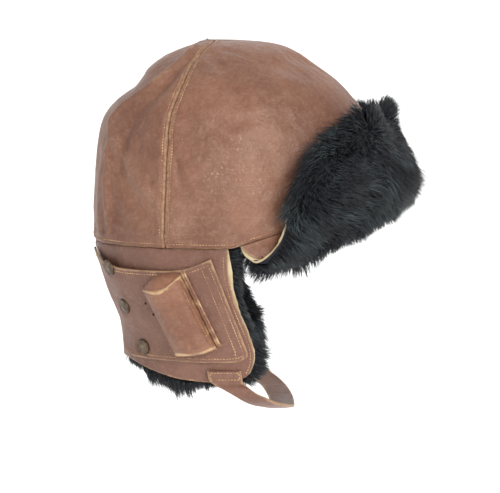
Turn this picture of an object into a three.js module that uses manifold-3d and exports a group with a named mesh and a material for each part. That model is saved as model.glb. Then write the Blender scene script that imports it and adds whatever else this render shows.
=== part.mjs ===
// Leather flying helmet with studded side panels, a chin strap and a turned-up fur brow flap.
// Millimetres, +Z up. The wearer looks along +X, and +Y is the wearer's left.
// The origin is the centre of the head opening, level with the seam under the crown.

import * as THREE from 'three';
import { mergeVertices } from 'three/addons/utils/BufferGeometryUtils.js';
import Module from 'manifold-3d';

const wasm = await Module();
wasm.setup();

// Driving dimensions

const CROWN_HEIGHT = 158;
const FRONT_REACH = 114;
const BACK_REACH = 115;
const HALF_WIDTH = 92;
const PLAN_TAPER = 0.06;
const APEX_HOLE = 0.6;
const BROW_RISE = 36;
const SIDE_SEAM_ANGLE = 117;

const LEATHER = 1.8;
const PELT = 1.6;
const SEAM_GAP = 0.3;
const LAYER_GAP = 0.35;

const CURTAIN_DROP = 105;
const CURTAIN_PELT_SHOW = 3.5;
const CURTAIN_PILE = 6.5;
const CURTAIN_LOCK_LENGTH = 12;
const CURTAIN_LOCK_WIDTH = 15;

const FLAP_STAND = 10;
const FLAP_HEIGHT = 80;
const FLAP_DROP = 18;
const FLAP_PELT_SHOW = 3.5;
const BROW_PILE = 20;
const BROW_INNER_PILE = 3;
const BROW_LOCK_LENGTH = 18;
const BROW_LOCK_WIDTH = 22;

const PANEL_LEATHER = 1.6;
const PANEL_GAP = 0.5;
const PANEL_DEPTH = 80;
const PANEL_MOUTH_LIFT = 4;
const PANEL_HOLE = 2.2;

const STUD_DIAMETER = 12.6;
const STUD_HEIGHT = 2.4;
const STUD_GAP = 0.65;

const POUCH_LENGTH = 69;
const POUCH_WIDTH = 31.5;
const POUCH_DEPTH = 14;
const POUCH_DRAW = 0.16;
const POUCH_SKEW = 0.09;
const POUCH_FOOT_DRAW = 0.05;
const POUCH_LEAN = THREE.MathUtils.degToRad(24.5);
const POUCH_X = -41.7;
const POUCH_Z = -51.4;
const WELT_WIDTH = 3.6;
const WELT_HEIGHT = 2.6;

const STRAP_WIDTH = 20;
const STRAP_ROOT_WIDTH = 26;
const STRAP_THICKNESS = 2.2;
const STRAP_DROP = 35;
const STRAP_FORWARD = 46;

// Crown sections from the seam to the apex, as shares of the height, the reaches and the half width

const CROWN_SECTIONS = [
  { height: 0.00, front: 0.950, back: 0.978, side: 0.940 },
  { height: 0.10, front: 0.985, back: 0.998, side: 0.978 },
  { height: 0.30, front: 1.000, back: 0.988, side: 1.000 },
  { height: 0.50, front: 0.965, back: 0.960, side: 0.965 },
  { height: 0.62, front: 0.910, back: 0.915, side: 0.900 },
  { height: 0.72, front: 0.805, back: 0.818, side: 0.812 },
  { height: 0.80, front: 0.698, back: 0.712, side: 0.705 },
  { height: 0.88, front: 0.545, back: 0.592, side: 0.555 },
  { height: 0.94, front: 0.420, back: 0.458, side: 0.405 },
  { height: 0.98, front: 0.265, back: 0.305, side: 0.240 },
  { height: 0.996, front: 0.040, back: 0.215, side: 0.090 },
  { height: 1.00, front: -0.185, back: 0.190, side: 0.000 },
];

// Ridges and hollows pressed into the crown, as shares of the half width and the height

const CROWN_FOLDS = [
  { angle: 155, height: 0.30, depth: 0.034, spread: 6, tall: 0.36 },
  { angle: 138, height: 0.42, depth: -0.024, spread: 9, tall: 0.30 },
  { angle: 172, height: 0.785, depth: -0.058, spread: 26, tall: 0.065 },
  { angle: 180, height: 0.35, depth: -0.010, spread: 12, tall: 0.30 },
  { angle: 205, height: 0.30, depth: 0.028, spread: 7, tall: 0.34 },
  { angle: 222, height: 0.42, depth: -0.018, spread: 9, tall: 0.30 },
];

// Curtain sections from the crown seam down, as shares of the drop, the back reach and the half width

const CURTAIN_SECTIONS = [
  { depth: 0.00, back: 0.978, side: 0.940, centre: 0.000 },
  { depth: 0.28, back: 0.905, side: 0.905, centre: 0.004 },
  { depth: 0.48, back: 0.840, side: 0.865, centre: 0.012 },
  { depth: 0.63, back: 0.800, side: 0.825, centre: 0.024 },
  { depth: 0.82, back: 0.779, side: 0.780, centre: 0.040 },
  { depth: 1.00, back: 0.770, side: 0.740, centre: 0.052 },
];

// Front edge of the curtain, an angle from straight ahead for each share of its depth

const CURTAIN_FRONT = [
  { down: 0.00, angle: 92.5 },
  { down: 0.19, angle: 92.5 },
  { down: 0.39, angle: 90 },
  { down: 0.60, angle: 86 },
  { down: 0.75, angle: 83.5 },
  { down: 0.88, angle: 84.5 },
  { down: 0.965, angle: 89 },
  { down: 1.00, angle: 97 },
];

// Lower edge of the curtain, a share of the drop for each angle

const CURTAIN_HEM = [
  { angle: 80, drop: 1.00 },
  { angle: 105, drop: 1.00 },
  { angle: 120, drop: 0.985 },
  { angle: 135, drop: 0.945 },
  { angle: 150, drop: 0.900 },
  { angle: 165, drop: 0.880 },
  { angle: 180, drop: 0.875 },
];

// Brow flap from straight ahead to its end: how far it hangs, how high it turns up, how far it stands off

const FLAP_SECTIONS = [
  { angle: 0, drop: 0.28, rise: 0.84, stand: 1.00, pile: 1.00 },
  { angle: 20, drop: 0.40, rise: 0.88, stand: 1.00, pile: 1.00 },
  { angle: 38, drop: 0.70, rise: 0.97, stand: 0.90, pile: 0.95 },
  { angle: 52, drop: 0.92, rise: 0.96, stand: 0.80, pile: 0.85 },
  { angle: 60, drop: 1.00, rise: 0.87, stand: 0.70, pile: 0.78 },
  { angle: 66, drop: 1.00, rise: 0.70, stand: 0.60, pile: 0.70 },
  { angle: 72, drop: 0.97, rise: 0.45, stand: 0.55, pile: 0.62 },
  { angle: 90, drop: 0.55, rise: 0.20, stand: 0.50, pile: 0.50 },
];

// The flap's path from the crown edge down, round its fold and up: shares of its drop, rise and stand-off

const FLAP_PATH = [
  { along: 0.00, down: 0.00, up: 0.00, out: 0.00, end: 86, fur: 0.00 },
  { along: 0.10, down: 0.55, up: 0.00, out: 0.00, end: 83.5, fur: 0.00 },
  { along: 0.18, down: 0.90, up: 0.00, out: 0.16, end: 80.5, fur: 0.16 },
  { along: 0.25, down: 1.00, up: 0.00, out: 0.50, end: 78, fur: 0.52 },
  { along: 0.33, down: 1.00, up: 0.09, out: 0.88, end: 75, fur: 0.78 },
  { along: 0.50, down: 1.00, up: 0.32, out: 1.00, end: 71, fur: 1.00 },
  { along: 0.70, down: 1.00, up: 0.60, out: 1.00, end: 69, fur: 0.98 },
  { along: 0.88, down: 1.00, up: 0.86, out: 0.84, end: 68, fur: 0.82 },
  { along: 1.00, down: 1.00, up: 1.00, out: 0.66, end: 67, fur: 0.70 },
];

// Side panel outline from its rear edge to its front edge: shares of its depth, and of its mouth's lift

const PANEL_SECTIONS = [
  { along: 0.00, top: 0.06, bottom: 1.09, lift: 0.20 },
  { along: 0.12, top: 0.15, bottom: 1.11, lift: 0.70 },
  { along: 0.30, top: 0.21, bottom: 1.11, lift: 1.00 },
  { along: 0.55, top: 0.22, bottom: 1.11, lift: 0.55 },
  { along: 0.80, top: 0.20, bottom: 1.11, lift: 0.25 },
  { along: 0.94, top: 0.13, bottom: 1.10, lift: 0.05 },
  { along: 1.00, top: 0.09, bottom: 1.05, lift: 0.00 },
];
const PANEL_REAR_ANGLE = 168;
const PANEL_REAR_TURN = 6;
const PANEL_FRONT_X = -20;
const PANEL_FRONT_LEAN = 30;

// Press studs along the panel's rear edge, an angle and a share of the panel's depth

const STUDS = [
  { angle: 149.5, down: 0.225 },
  { angle: 149.5, down: 0.61 },
  { angle: 141.5, down: 1.00 },
];

// Two small holes beside the pouch, from its middle as shares of its width and length

const PANEL_HOLES = [
  { across: -0.61, along: 0.248 },
  { across: -0.553, along: 0.103 },
];

// Chin strap from its sewn end to the middle under the chin: shares of forward reach, half width and drop

const STRAP_ROUTE = [
  { forward: 0.00, width: 0.800, drop: -0.10 },
  { forward: 0.06, width: 0.800, drop: 0.17 },
  { forward: 0.28, width: 0.785, drop: 0.35 },
  { forward: 0.47, width: 0.760, drop: 0.51 },
  { forward: 0.62, width: 0.690, drop: 0.64 },
  { forward: 0.82, width: 0.540, drop: 0.79 },
  { forward: 0.95, width: 0.310, drop: 0.92 },
  { forward: 0.99, width: 0.150, drop: 0.98 },
  { forward: 1.00, width: 0.000, drop: 1.00 },
];
const STRAP_ROOT_X = -8;
const STRAP_STUD_SHARE = 0.95;

// Finishes

const FINISHES = {
  leather: new THREE.MeshStandardMaterial({ color: 0x8a5a48, roughness: 0.5, metalness: 0 }),
  pelt: new THREE.MeshStandardMaterial({ color: 0xb49a6c, roughness: 0.9, metalness: 0 }),
  fur: new THREE.MeshStandardMaterial({ color: 0x15171b, roughness: 0.8, metalness: 0 }),
  brass: new THREE.MeshStandardMaterial({ color: 0x6a5546, roughness: 0.4, metalness: 1 }),
};

const RIGHT = -1;
const LEFT = 1;

// Reads a named column of a table at any place between its rows, on a smooth curve through them

function read(rows, key, name, at) {
  const last = rows.length - 1;
  if (at <= rows[0][key]) return rows[0][name];
  if (at >= rows[last][key]) return rows[last][name];
  let i = 0;
  while (rows[i + 1][key] < at) i += 1;
  const slope = (j) => {
    const before = Math.max(j - 1, 0);
    const after = Math.min(j + 1, last);
    return (rows[after][name] - rows[before][name]) / (rows[after][key] - rows[before][key]);
  };
  const span = rows[i + 1][key] - rows[i][key];
  const t = (at - rows[i][key]) / span;
  const fromRow = rows[i][name] * (1 - t * t * (3 - 2 * t)) + rows[i + 1][name] * t * t * (3 - 2 * t);
  return fromRow + span * t * (1 - t) * (slope(i) * (1 - t) - slope(i + 1) * t);
}

// Horizontal section of the crown at a height, and of the curtain at a depth

function crownRing(z) {
  const height = z / CROWN_HEIGHT;
  const front = FRONT_REACH * read(CROWN_SECTIONS, 'height', 'front', height);
  const back = BACK_REACH * read(CROWN_SECTIONS, 'height', 'back', height);
  const side = HALF_WIDTH * read(CROWN_SECTIONS, 'height', 'side', height);
  return {
    centre: (front - back) / 2,
    length: Math.max((front + back) / 2, APEX_HOLE),
    width: Math.max(side, APEX_HOLE),
  };
}

function curtainRing(z) {
  const depth = -z / CURTAIN_DROP;
  const centre = BACK_REACH * read(CURTAIN_SECTIONS, 'depth', 'centre', depth);
  return {
    centre,
    length: BACK_REACH * read(CURTAIN_SECTIONS, 'depth', 'back', depth) + centre,
    width: HALF_WIDTH * read(CURTAIN_SECTIONS, 'depth', 'side', depth),
  };
}

// A point on a ring, pushed out level from it; the angle is in radians from straight ahead

function ringPoint(ring, angle, z, out) {
  const cos = Math.cos(angle);
  const sin = Math.sin(angle);
  const x = ring.centre + ring.length * cos;
  const y = ring.width * sin * (1 - PLAN_TAPER * cos);
  const along = new THREE.Vector2(
    -ring.length * sin,
    ring.width * (cos * (1 - PLAN_TAPER * cos) + PLAN_TAPER * sin * sin),
  ).normalize();
  return new THREE.Vector3(x + along.y * out, y - along.x * out, z);
}

function crownEdge(angle) {
  return BROW_RISE * Math.max(Math.cos(angle), 0);
}

function crownFold(degrees, height) {
  const turn = ((degrees % 360) + 360) % 360;
  return CROWN_FOLDS.reduce((sum, fold) => {
    const across = (turn - fold.angle) / fold.spread;
    const upward = (height - fold.height) / fold.tall;
    return sum + HALF_WIDTH * fold.depth * Math.exp(-across * across - upward * upward);
  }, 0);
}

// The crown's outer face, turned by degrees from straight ahead towards the wearer's right

function crownSurface(degrees, share) {
  const angle = THREE.MathUtils.degToRad(-degrees);
  const edge = crownEdge(angle);
  const z = edge + (CROWN_HEIGHT - edge) * share;
  return ringPoint(crownRing(z), angle, z, crownFold(degrees, z / CROWN_HEIGHT));
}

// The same face moved sideways along the ring and in or out square to the surface

function crownPoint(degrees, share, out, sideways = 0) {
  const turn = 0.5;
  const climb = 0.002;
  const lower = Math.min(share, 1 - climb);
  const along = crownSurface(degrees + turn, share).sub(crownSurface(degrees - turn, share)).normalize();
  const upward = crownSurface(degrees, lower + climb).sub(crownSurface(degrees, lower)).normalize();
  const normal = new THREE.Vector3().crossVectors(upward, along).normalize();
  return crownSurface(degrees, share).addScaledVector(normal, out).addScaledVector(along, sideways);
}

// Closed wall between two faces over a grid: place(u, v, 0) is the inner face and place(u, v, 1) the outer

function wall(us, vs, place) {
  const positions = [];
  const indices = [];
  const count = us.length * vs.length;
  const at = (i, j, face) => face * count + j * us.length + i;
  [0, 1].forEach((face) => {
    vs.forEach((v) => us.forEach((u) => positions.push(...place(u, v, face).toArray())));
  });
  const quad = (a, b, c, d) => indices.push(a, b, c, a, c, d);
  for (let j = 0; j < vs.length - 1; j += 1) {
    for (let i = 0; i < us.length - 1; i += 1) {
      quad(at(i, j, 1), at(i + 1, j, 1), at(i + 1, j + 1, 1), at(i, j + 1, 1));
      quad(at(i, j, 0), at(i, j + 1, 0), at(i + 1, j + 1, 0), at(i + 1, j, 0));
    }
  }
  for (let i = 0; i < us.length - 1; i += 1) {
    const top = vs.length - 1;
    quad(at(i, 0, 0), at(i + 1, 0, 0), at(i + 1, 0, 1), at(i, 0, 1));
    quad(at(i, top, 1), at(i + 1, top, 1), at(i + 1, top, 0), at(i, top, 0));
  }
  for (let j = 0; j < vs.length - 1; j += 1) {
    const end = us.length - 1;
    quad(at(0, j, 1), at(0, j + 1, 1), at(0, j + 1, 0), at(0, j, 0));
    quad(at(end, j, 0), at(end, j + 1, 0), at(end, j + 1, 1), at(end, j, 1));
  }
  return closed(positions, indices);
}

// A geometry from points and faces, turned so that its faces point outwards; faces that close to a line are left out

function closed(positions, indices) {
  let volume = 0;
  const corner = (k) => new THREE.Vector3().fromArray(positions, 3 * k);
  for (let t = 0; t < indices.length; t += 3) {
    const [a, b, c] = [corner(indices[t]), corner(indices[t + 1]), corner(indices[t + 2])];
    volume += a.dot(b.cross(c));
  }
  const faces = [];
  for (let t = 0; t < indices.length; t += 3) {
    const [a, b, c] = indices.slice(t, t + 3);
    const apart = corner(a).distanceTo(corner(b)) * corner(b).distanceTo(corner(c)) * corner(c).distanceTo(corner(a));
    if (apart > 0) faces.push(a, ...(volume > 0 ? [b, c] : [c, b]));
  }
  const geometry = new THREE.BufferGeometry();
  geometry.setAttribute('position', new THREE.Float32BufferAttribute(positions, 3));
  geometry.setIndex(faces);
  return geometry;
}

function steps(count, from = 0, to = 1) {
  return Array.from({ length: count + 1 }, (_, i) => from + ((to - from) * i) / count);
}

// Solids for joining and cutting

function toManifold(geometry) {
  const bare = geometry.clone();
  bare.deleteAttribute('normal');
  bare.deleteAttribute('uv');
  const merged = mergeVertices(bare, 1e-4);
  return new wasm.Manifold(new wasm.Mesh({
    numProp: 3,
    vertProperties: new Float32Array(merged.attributes.position.array),
    triVerts: new Uint32Array(merged.index.array),
  }));
}

function fromManifold(solid) {
  const mesh = solid.getMesh();
  const geometry = new THREE.BufferGeometry();
  geometry.setAttribute('position', new THREE.BufferAttribute(new Float32Array(mesh.vertProperties), 3));
  geometry.setIndex(new THREE.BufferAttribute(new Uint32Array(mesh.triVerts), 1));
  return geometry;
}

// Joins locks to their backing and closes the small hollows left between crossing locks

function fuse(backing, locks) {
  const joined = locks.reduce((sum, lock) => sum.add(toManifold(lock)), toManifold(backing));
  const shells = joined.decompose().sort((a, b) => b.volume() - a.volume());
  return fromManifold(shells[0]);
}

// One tapered lock of fur, a flat three-sided spike that bends down towards its tip

function lock(root, axis, across, size) {
  const side = across.clone().normalize();
  const face = new THREE.Vector3().crossVectors(axis, side).normalize();
  const ring = (along, share) => [[-1, -0.5], [1, -0.5], [0, 1]].map(([s, f]) => root.clone()
    .addScaledVector(axis, along)
    .addScaledVector(side, (s * share * size.width) / 2)
    .addScaledVector(face, (f * share * size.thick) / 2));
  const tip = root.clone().addScaledVector(axis, size.length);
  tip.z -= size.droop;
  const middle = ring(size.length * 0.45, 0.8);
  middle.forEach((point) => { point.z -= size.droop * 0.25; });
  const points = [...ring(-size.bury, 1), ...middle, tip];
  const indices = [0, 2, 1];
  for (let k = 0; k < 3; k += 1) {
    const next = (k + 1) % 3;
    indices.push(k, next, 3 + next, k, 3 + next, 3 + k, 3 + k, 3 + next, 6);
  }
  return closed(points.flatMap((point) => point.toArray()), indices);
}

// Uneven but repeatable spread for the locks, between -1 and 1

function uneven(index, salt) {
  const wave = Math.sin((index + 1) * 12.9898 + salt * 78.233) * 43758.5453;
  return 2 * (wave - Math.floor(wave)) - 1;
}

// Crown: gores that meet at the apex, with an open seam between neighbours

const GORES = [
  { name: 'crown_front_right', from: 0, to: SIDE_SEAM_ANGLE },
  { name: 'crown_back', from: SIDE_SEAM_ANGLE, to: 360 - SIDE_SEAM_ANGLE },
  { name: 'crown_front_left', from: 360 - SIDE_SEAM_ANGLE, to: 360 },
];
const GORE_COLUMNS = [0, 0.1, 0.2, 0.3, 0.4, 0.5, 0.6, 0.7, 0.8, 0.9, 1];
const GORE_ROWS = [0, 0.12, 0.3, 0.48, 0.6, 0.7, 0.775, 0.85, 0.915, 0.96, 0.99, 1];

function goreGeometry(gore) {
  return wall(GORE_COLUMNS, GORE_ROWS, (u, v, face) => {
    const out = face ? 0 : -LEATHER;
    if (v === 1) return crownPoint((gore.from + gore.to) / 2, v, out);
    return crownPoint(gore.from + (gore.to - gore.from) * u, v, out, SEAM_GAP * (0.5 - u));
  });
}

// A sheet's grid lines, carried a little past its edges so that a layer shows there

function widened(lines, beyond) {
  return [-1 - beyond, ...lines, 1 + beyond];
}

function lengthened(lines, beyond) {
  return [...lines, 1 + beyond];
}

// Share of a layer's show at the front that is left near the crown seam

function cornerShare(v, corner) {
  return Math.min(0.1 + v / corner, 1);
}

// Curtain: ear flaps and nape in one sheet; past 1 either way lies what shows beyond the leather

function curtainPoint(u, v, out) {
  const frontAngle = read(CURTAIN_FRONT, 'down', 'angle', v);
  const reach = Math.min(Math.abs(u), 1) + Math.max(Math.abs(u) - 1, 0) * cornerShare(v, 0.15);
  const degrees = 180 - reach * (180 - frontAngle);
  const angle = THREE.MathUtils.degToRad(degrees);
  const top = crownEdge(angle) - SEAM_GAP;
  const bottom = -CURTAIN_DROP * read(CURTAIN_HEM, 'angle', 'drop', degrees);
  const z = top + (bottom - top) * v;
  return ringPoint(curtainRing(z), u < 0 ? -angle : angle, z, out);
}

const CURTAIN_COLUMNS = steps(24, -1, 1);
const CURTAIN_ROWS = [0, 0.16, 0.36, 0.56, 0.74, 0.88, 0.965, 1];
const CURTAIN_HALF_ROUND = (Math.PI / 4) * (BACK_REACH + HALF_WIDTH);

function curtainGeometry() {
  return wall(CURTAIN_COLUMNS, CURTAIN_ROWS, (u, v, face) => curtainPoint(u, v, face ? 0 : -LEATHER));
}

const CURTAIN_PELT_FACE = -LEATHER - LAYER_GAP;
const CURTAIN_FUR_FACE = CURTAIN_PELT_FACE - PELT - LAYER_GAP;

function curtainPeltGeometry() {
  const columns = widened(CURTAIN_COLUMNS, CURTAIN_PELT_SHOW / CURTAIN_HALF_ROUND);
  const rows = lengthened(CURTAIN_ROWS, CURTAIN_PELT_SHOW / CURTAIN_DROP / 2);
  return wall(columns, rows, (u, v, face) => curtainPoint(u, v, CURTAIN_PELT_FACE - (face ? 0 : PELT)));
}

// Curtain fur: a thick pile inside the pelt with locks round its front and lower edges

function curtainFurGeometry() {
  const edgeU = 1 + (CURTAIN_PELT_SHOW + 1) / CURTAIN_HALF_ROUND;
  const edgeV = 1 + CURTAIN_PELT_SHOW / CURTAIN_DROP;
  const columns = widened(CURTAIN_COLUMNS.filter((_, index) => index % 2 === 0), edgeU - 1);
  const rows = [0.02, ...CURTAIN_ROWS.slice(1), edgeV];
  const backing = wall(columns, rows, (u, v, face) => {
    const wave = 0.12 * Math.sin(9 * u * Math.PI + 7 * v);
    const pile = CURTAIN_PILE * (0.9 + wave) * Math.min(1, 0.35 + 3 * v);
    return curtainPoint(u, v, CURTAIN_FUR_FACE - (face ? 0 : pile));
  });
  const middle = CURTAIN_FUR_FACE - CURTAIN_PILE / 2;
  const size = (index) => ({
    width: CURTAIN_LOCK_WIDTH * (1 + 0.2 * uneven(index, 1)),
    thick: CURTAIN_PILE * 0.62,
    length: CURTAIN_LOCK_LENGTH * (0.85 + 0.3 * uneven(index, 2)),
    bury: CURTAIN_LOCK_LENGTH * 0.3,
    droop: CURTAIN_LOCK_LENGTH * 0.12,
  });
  const step = 1e-3;
  const hem = steps(22, -0.9, 0.9).map((u, index) => {
    const root = curtainPoint(u, edgeV, middle);
    const across = curtainPoint(u + step, edgeV, middle).sub(root);
    return lock(root, new THREE.Vector3(0.35 * uneven(index, 3), 0, -1).normalize(), across, size(index));
  });
  const fronts = [-edgeU, edgeU].flatMap((u) => steps(6, 0.22, 0.94).map((v, index) => {
    const root = curtainPoint(u, v, middle);
    const across = curtainPoint(u, v + step, middle).sub(root);
    const axis = new THREE.Vector3(1, 0, -0.45 + 0.3 * uneven(index, 4)).normalize();
    return lock(root, axis, across, { ...size(index + 40), length: CURTAIN_LOCK_LENGTH * 0.7 });
  }));
  return fuse(backing, [...hem, ...fronts]);
}

// Brow flap: hangs from the crown edge, folds under and turns up outside; depth is towards the fur

function flapSection(degrees, along) {
  const edge = crownEdge(THREE.MathUtils.degToRad(degrees));
  const drop = FLAP_DROP * read(FLAP_SECTIONS, 'angle', 'drop', degrees);
  const rise = FLAP_HEIGHT * read(FLAP_SECTIONS, 'angle', 'rise', degrees);
  const stand = FLAP_STAND * read(FLAP_SECTIONS, 'angle', 'stand', degrees);
  const down = read(FLAP_PATH, 'along', 'down', along);
  const up = read(FLAP_PATH, 'along', 'up', along);
  const out = read(FLAP_PATH, 'along', 'out', along);
  return new THREE.Vector2(
    -LEATHER + (stand + LEATHER) * out,
    edge - SEAM_GAP - drop * down + rise * up,
  );
}

function flapPoint(u, v, depth) {
  const reach = Math.min(Math.abs(u), 1) + Math.max(Math.abs(u) - 1, 0) * cornerShare(v, 0.2);
  const degrees = reach * read(FLAP_PATH, 'along', 'end', v);
  const nearby = 0.01;
  const place = flapSection(degrees, v);
  const ahead = flapSection(degrees, Math.min(v + nearby, 1));
  const behind = flapSection(degrees, Math.max(Math.min(v, 1) - nearby, 0));
  const tangent = ahead.clone().sub(behind).normalize();
  place.addScaledVector(tangent, Math.max(v - 1, 0) * FLAP_HEIGHT);
  place.add(new THREE.Vector2(tangent.y, -tangent.x).multiplyScalar(depth));
  const angle = THREE.MathUtils.degToRad(degrees);
  return ringPoint(crownRing(Math.max(place.y, 0)), u < 0 ? -angle : angle, place.y, place.x);
}

const FLAP_COLUMNS = steps(16, -1, 1);
const FLAP_ROWS = [0, 0.12, 0.2, 0.26, 0.34, 0.56, 0.8, 1];
const FLAP_HALF_ROUND = THREE.MathUtils.degToRad(70) * HALF_WIDTH;

function flapLayerGeometry(near, far, show) {
  const columns = show ? widened(FLAP_COLUMNS, show / FLAP_HALF_ROUND) : FLAP_COLUMNS;
  const rows = show ? lengthened(FLAP_ROWS, show / FLAP_HEIGHT) : FLAP_ROWS;
  return wall(columns, rows, (u, v, face) => flapPoint(u, v, face ? far : near));
}

const FLAP_PELT_FACE = LAYER_GAP;
const FLAP_FUR_FACE = FLAP_PELT_FACE + PELT + LAYER_GAP;

function browPile(u, v) {
  const end = read(FLAP_PATH, 'along', 'end', v);
  const round = read(FLAP_SECTIONS, 'angle', 'pile', Math.abs(u) * end);
  return BROW_INNER_PILE + (BROW_PILE - BROW_INNER_PILE) * round * read(FLAP_PATH, 'along', 'fur', v);
}

// Brow fur: a thick pile on the pelt with rows of locks lying downwards and a tuft at the upper edge

const BROW_LOCK_ROWS = [
  { along: 0.25, count: 11, lift: 1.00, lay: 0.10, length: 0.50 },
  { along: 0.40, count: 10, lift: 0.80, lay: 0.60, length: 0.90 },
  { along: 0.58, count: 9, lift: 0.75, lay: 0.65, length: 1.05 },
  { along: 0.76, count: 9, lift: 0.85, lay: 0.45, length: 0.95 },
  { along: 0.96, count: 9, lift: 0.55, lay: -1.00, length: 1.10 },
];

function browFurGeometry() {
  const edgeU = (FLAP_PELT_SHOW - 1) / FLAP_HALF_ROUND;
  const edgeV = (FLAP_PELT_SHOW - 1) / FLAP_HEIGHT;
  const backingShare = 0.6;
  const backing = wall(widened(FLAP_COLUMNS, edgeU), lengthened(FLAP_ROWS, edgeV), (u, v, face) => (
    flapPoint(u, v, FLAP_FUR_FACE + (face ? backingShare * browPile(u, v) : 0))
  ));
  const step = 1e-3;
  const locks = BROW_LOCK_ROWS.flatMap((row, r) => steps(row.count, -0.97, 0.97).map((place, index) => {
    const u = place + (0.25 * uneven(index, r)) / row.count;
    const depth = FLAP_FUR_FACE + backingShare * browPile(u, row.along) - 2;
    const root = flapPoint(u, row.along, depth);
    const across = flapPoint(u + step, row.along, depth).sub(root);
    const outward = flapPoint(u, row.along, depth + 1).sub(root).normalize();
    const upward = flapPoint(u, row.along + step, depth).sub(root).normalize();
    const axis = outward.multiplyScalar(row.lift).addScaledVector(upward, -row.lay).normalize();
    const share = browPile(u, row.along) / BROW_PILE;
    return lock(root, axis, across, {
      width: BROW_LOCK_WIDTH * (1 + 0.2 * uneven(index, 5 + r)),
      thick: BROW_LOCK_WIDTH * 0.42,
      length: BROW_LOCK_LENGTH * row.length * (0.45 + 0.55 * share) * (1 + 0.15 * uneven(index, 9 + r)),
      bury: 2,
      droop: BROW_LOCK_LENGTH * 0.12,
    });
  }));
  return fuse(backing, locks);
}

// A point on the outside of an ear flap, by its distance ahead of the origin and its height

function sidePoint(side, x, z, out) {
  const ring = curtainRing(z);
  const cos = THREE.MathUtils.clamp((x - ring.centre) / ring.length, -1, 1);
  return ringPoint(ring, side * Math.acos(cos), z, out);
}

// The direction square to a face of the flap, where place gives the face

function squareTo(place, side, x, z) {
  const ahead = place(side, x + 1, z, 0).sub(place(side, x - 1, z, 0));
  const above = place(side, x, z + 1, 0).sub(place(side, x, z - 1, 0));
  return ahead.cross(above).multiplyScalar(-side).normalize();
}

// Side panel: lies on the curtain, its upper edge standing off as an open pocket mouth

const PANEL_FACE = PANEL_GAP + PANEL_LEATHER;

function panelSpan(depth) {
  const ring = curtainRing(-depth);
  const share = depth / PANEL_DEPTH;
  const frontX = PANEL_FRONT_X + PANEL_FRONT_LEAN * Math.min(share, 1);
  return {
    rear: THREE.MathUtils.degToRad(PANEL_REAR_ANGLE - PANEL_REAR_TURN * share),
    front: Math.acos((frontX - ring.centre) / ring.length),
  };
}

function panelEdges(along) {
  return {
    top: PANEL_DEPTH * read(PANEL_SECTIONS, 'along', 'top', along),
    bottom: PANEL_DEPTH * read(PANEL_SECTIONS, 'along', 'bottom', along),
  };
}

function panelLift(angle, depth) {
  const span = panelSpan(depth);
  const along = (span.rear - angle) / (span.rear - span.front);
  const edges = panelEdges(along);
  const down = THREE.MathUtils.clamp((depth - edges.top) / (edges.bottom - edges.top), 0, 1);
  return PANEL_MOUTH_LIFT * read(PANEL_SECTIONS, 'along', 'lift', along) * Math.pow(1 - down, 3);
}

function panelPoint(side, along, down, out) {
  const edges = panelEdges(along);
  const depth = edges.top + (edges.bottom - edges.top) * down;
  const span = panelSpan(depth);
  const angle = span.rear + (span.front - span.rear) * along;
  return ringPoint(curtainRing(-depth), side * angle, -depth, out + panelLift(angle, depth));
}

// A point over the panel's outer face, by its distance ahead of the origin and its height

function overPanel(side, x, z, out) {
  const ring = curtainRing(z);
  const angle = Math.acos(THREE.MathUtils.clamp((x - ring.centre) / ring.length, -1, 1));
  return ringPoint(ring, side * angle, z, PANEL_FACE + panelLift(angle, -z) + out);
}

function pouchPlace(across, along) {
  return {
    x: POUCH_X + across * Math.cos(POUCH_LEAN) - along * Math.sin(POUCH_LEAN),
    z: POUCH_Z + across * Math.sin(POUCH_LEAN) + along * Math.cos(POUCH_LEAN),
  };
}

function panelGeometry(side) {
  const sheet = wall(steps(13), [0, 0.15, 0.35, 0.55, 0.78, 1], (u, v, face) => (
    panelPoint(side, u, v, face ? PANEL_FACE : PANEL_GAP)
  ));
  const drill = new THREE.CylinderGeometry(PANEL_HOLE / 2, PANEL_HOLE / 2, 6 * PANEL_LEATHER, 8);
  const holes = PANEL_HOLES.map((hole) => {
    const { x, z } = pouchPlace(hole.across * POUCH_WIDTH, hole.along * POUCH_LENGTH);
    const turn = new THREE.Quaternion()
      .setFromUnitVectors(new THREE.Vector3(0, 1, 0), squareTo(overPanel, side, x, z));
    return drill.clone().applyQuaternion(turn).translate(...overPanel(side, x, z, 0).toArray());
  });
  return fromManifold(holes.reduce((sum, hole) => sum.subtract(toManifold(hole)), toManifold(sheet)));
}

// Pouch: a hollow half-round case on the side panel, a domed gusset at its top and a slanting foot

function pouchHeight(across, along) {
  const round = Math.pow(Math.max(1 - Math.pow(Math.abs(across), 3), 0), 1 / 2.4);
  const upper = Math.pow(Math.max(1 - Math.pow(Math.max(along - 0.55, 0) / 0.45, 2.5), 0), 0.5);
  const lower = Math.pow(Math.max(1 - Math.pow(Math.max(-along, 0), 14), 0), 0.5);
  return round * upper * lower;
}

function pouchGeometry(side) {
  const acrosses = [-1, -0.94, -0.75, -0.35, 0, 0.35, 0.75, 0.94, 1];
  const alongs = [-1, -0.97, -0.85, -0.3, 0.25, 0.6, 0.78, 0.92, 1];
  return wall(acrosses, alongs, (across, along, face) => {
    const width = POUCH_WIDTH / 2 - (face ? 0 : PANEL_LEATHER);
    const length = POUCH_LENGTH / 2 - (face ? 0 : PANEL_LEATHER);
    const depth = POUCH_DEPTH - (face ? 0 : PANEL_LEATHER);
    const up = POUCH_DRAW * across * across * Math.max(along, 0);
    const down = (POUCH_SKEW * across - POUCH_FOOT_DRAW * across * across) * Math.max(-along, 0);
    const { x, z } = pouchPlace(across * width, along * (1 - up + down) * length);
    return overPanel(side, x, z, LAYER_GAP + depth * pouchHeight(across, along));
  });
}

// Welt: the raised seam along the pouch's front side

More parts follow.
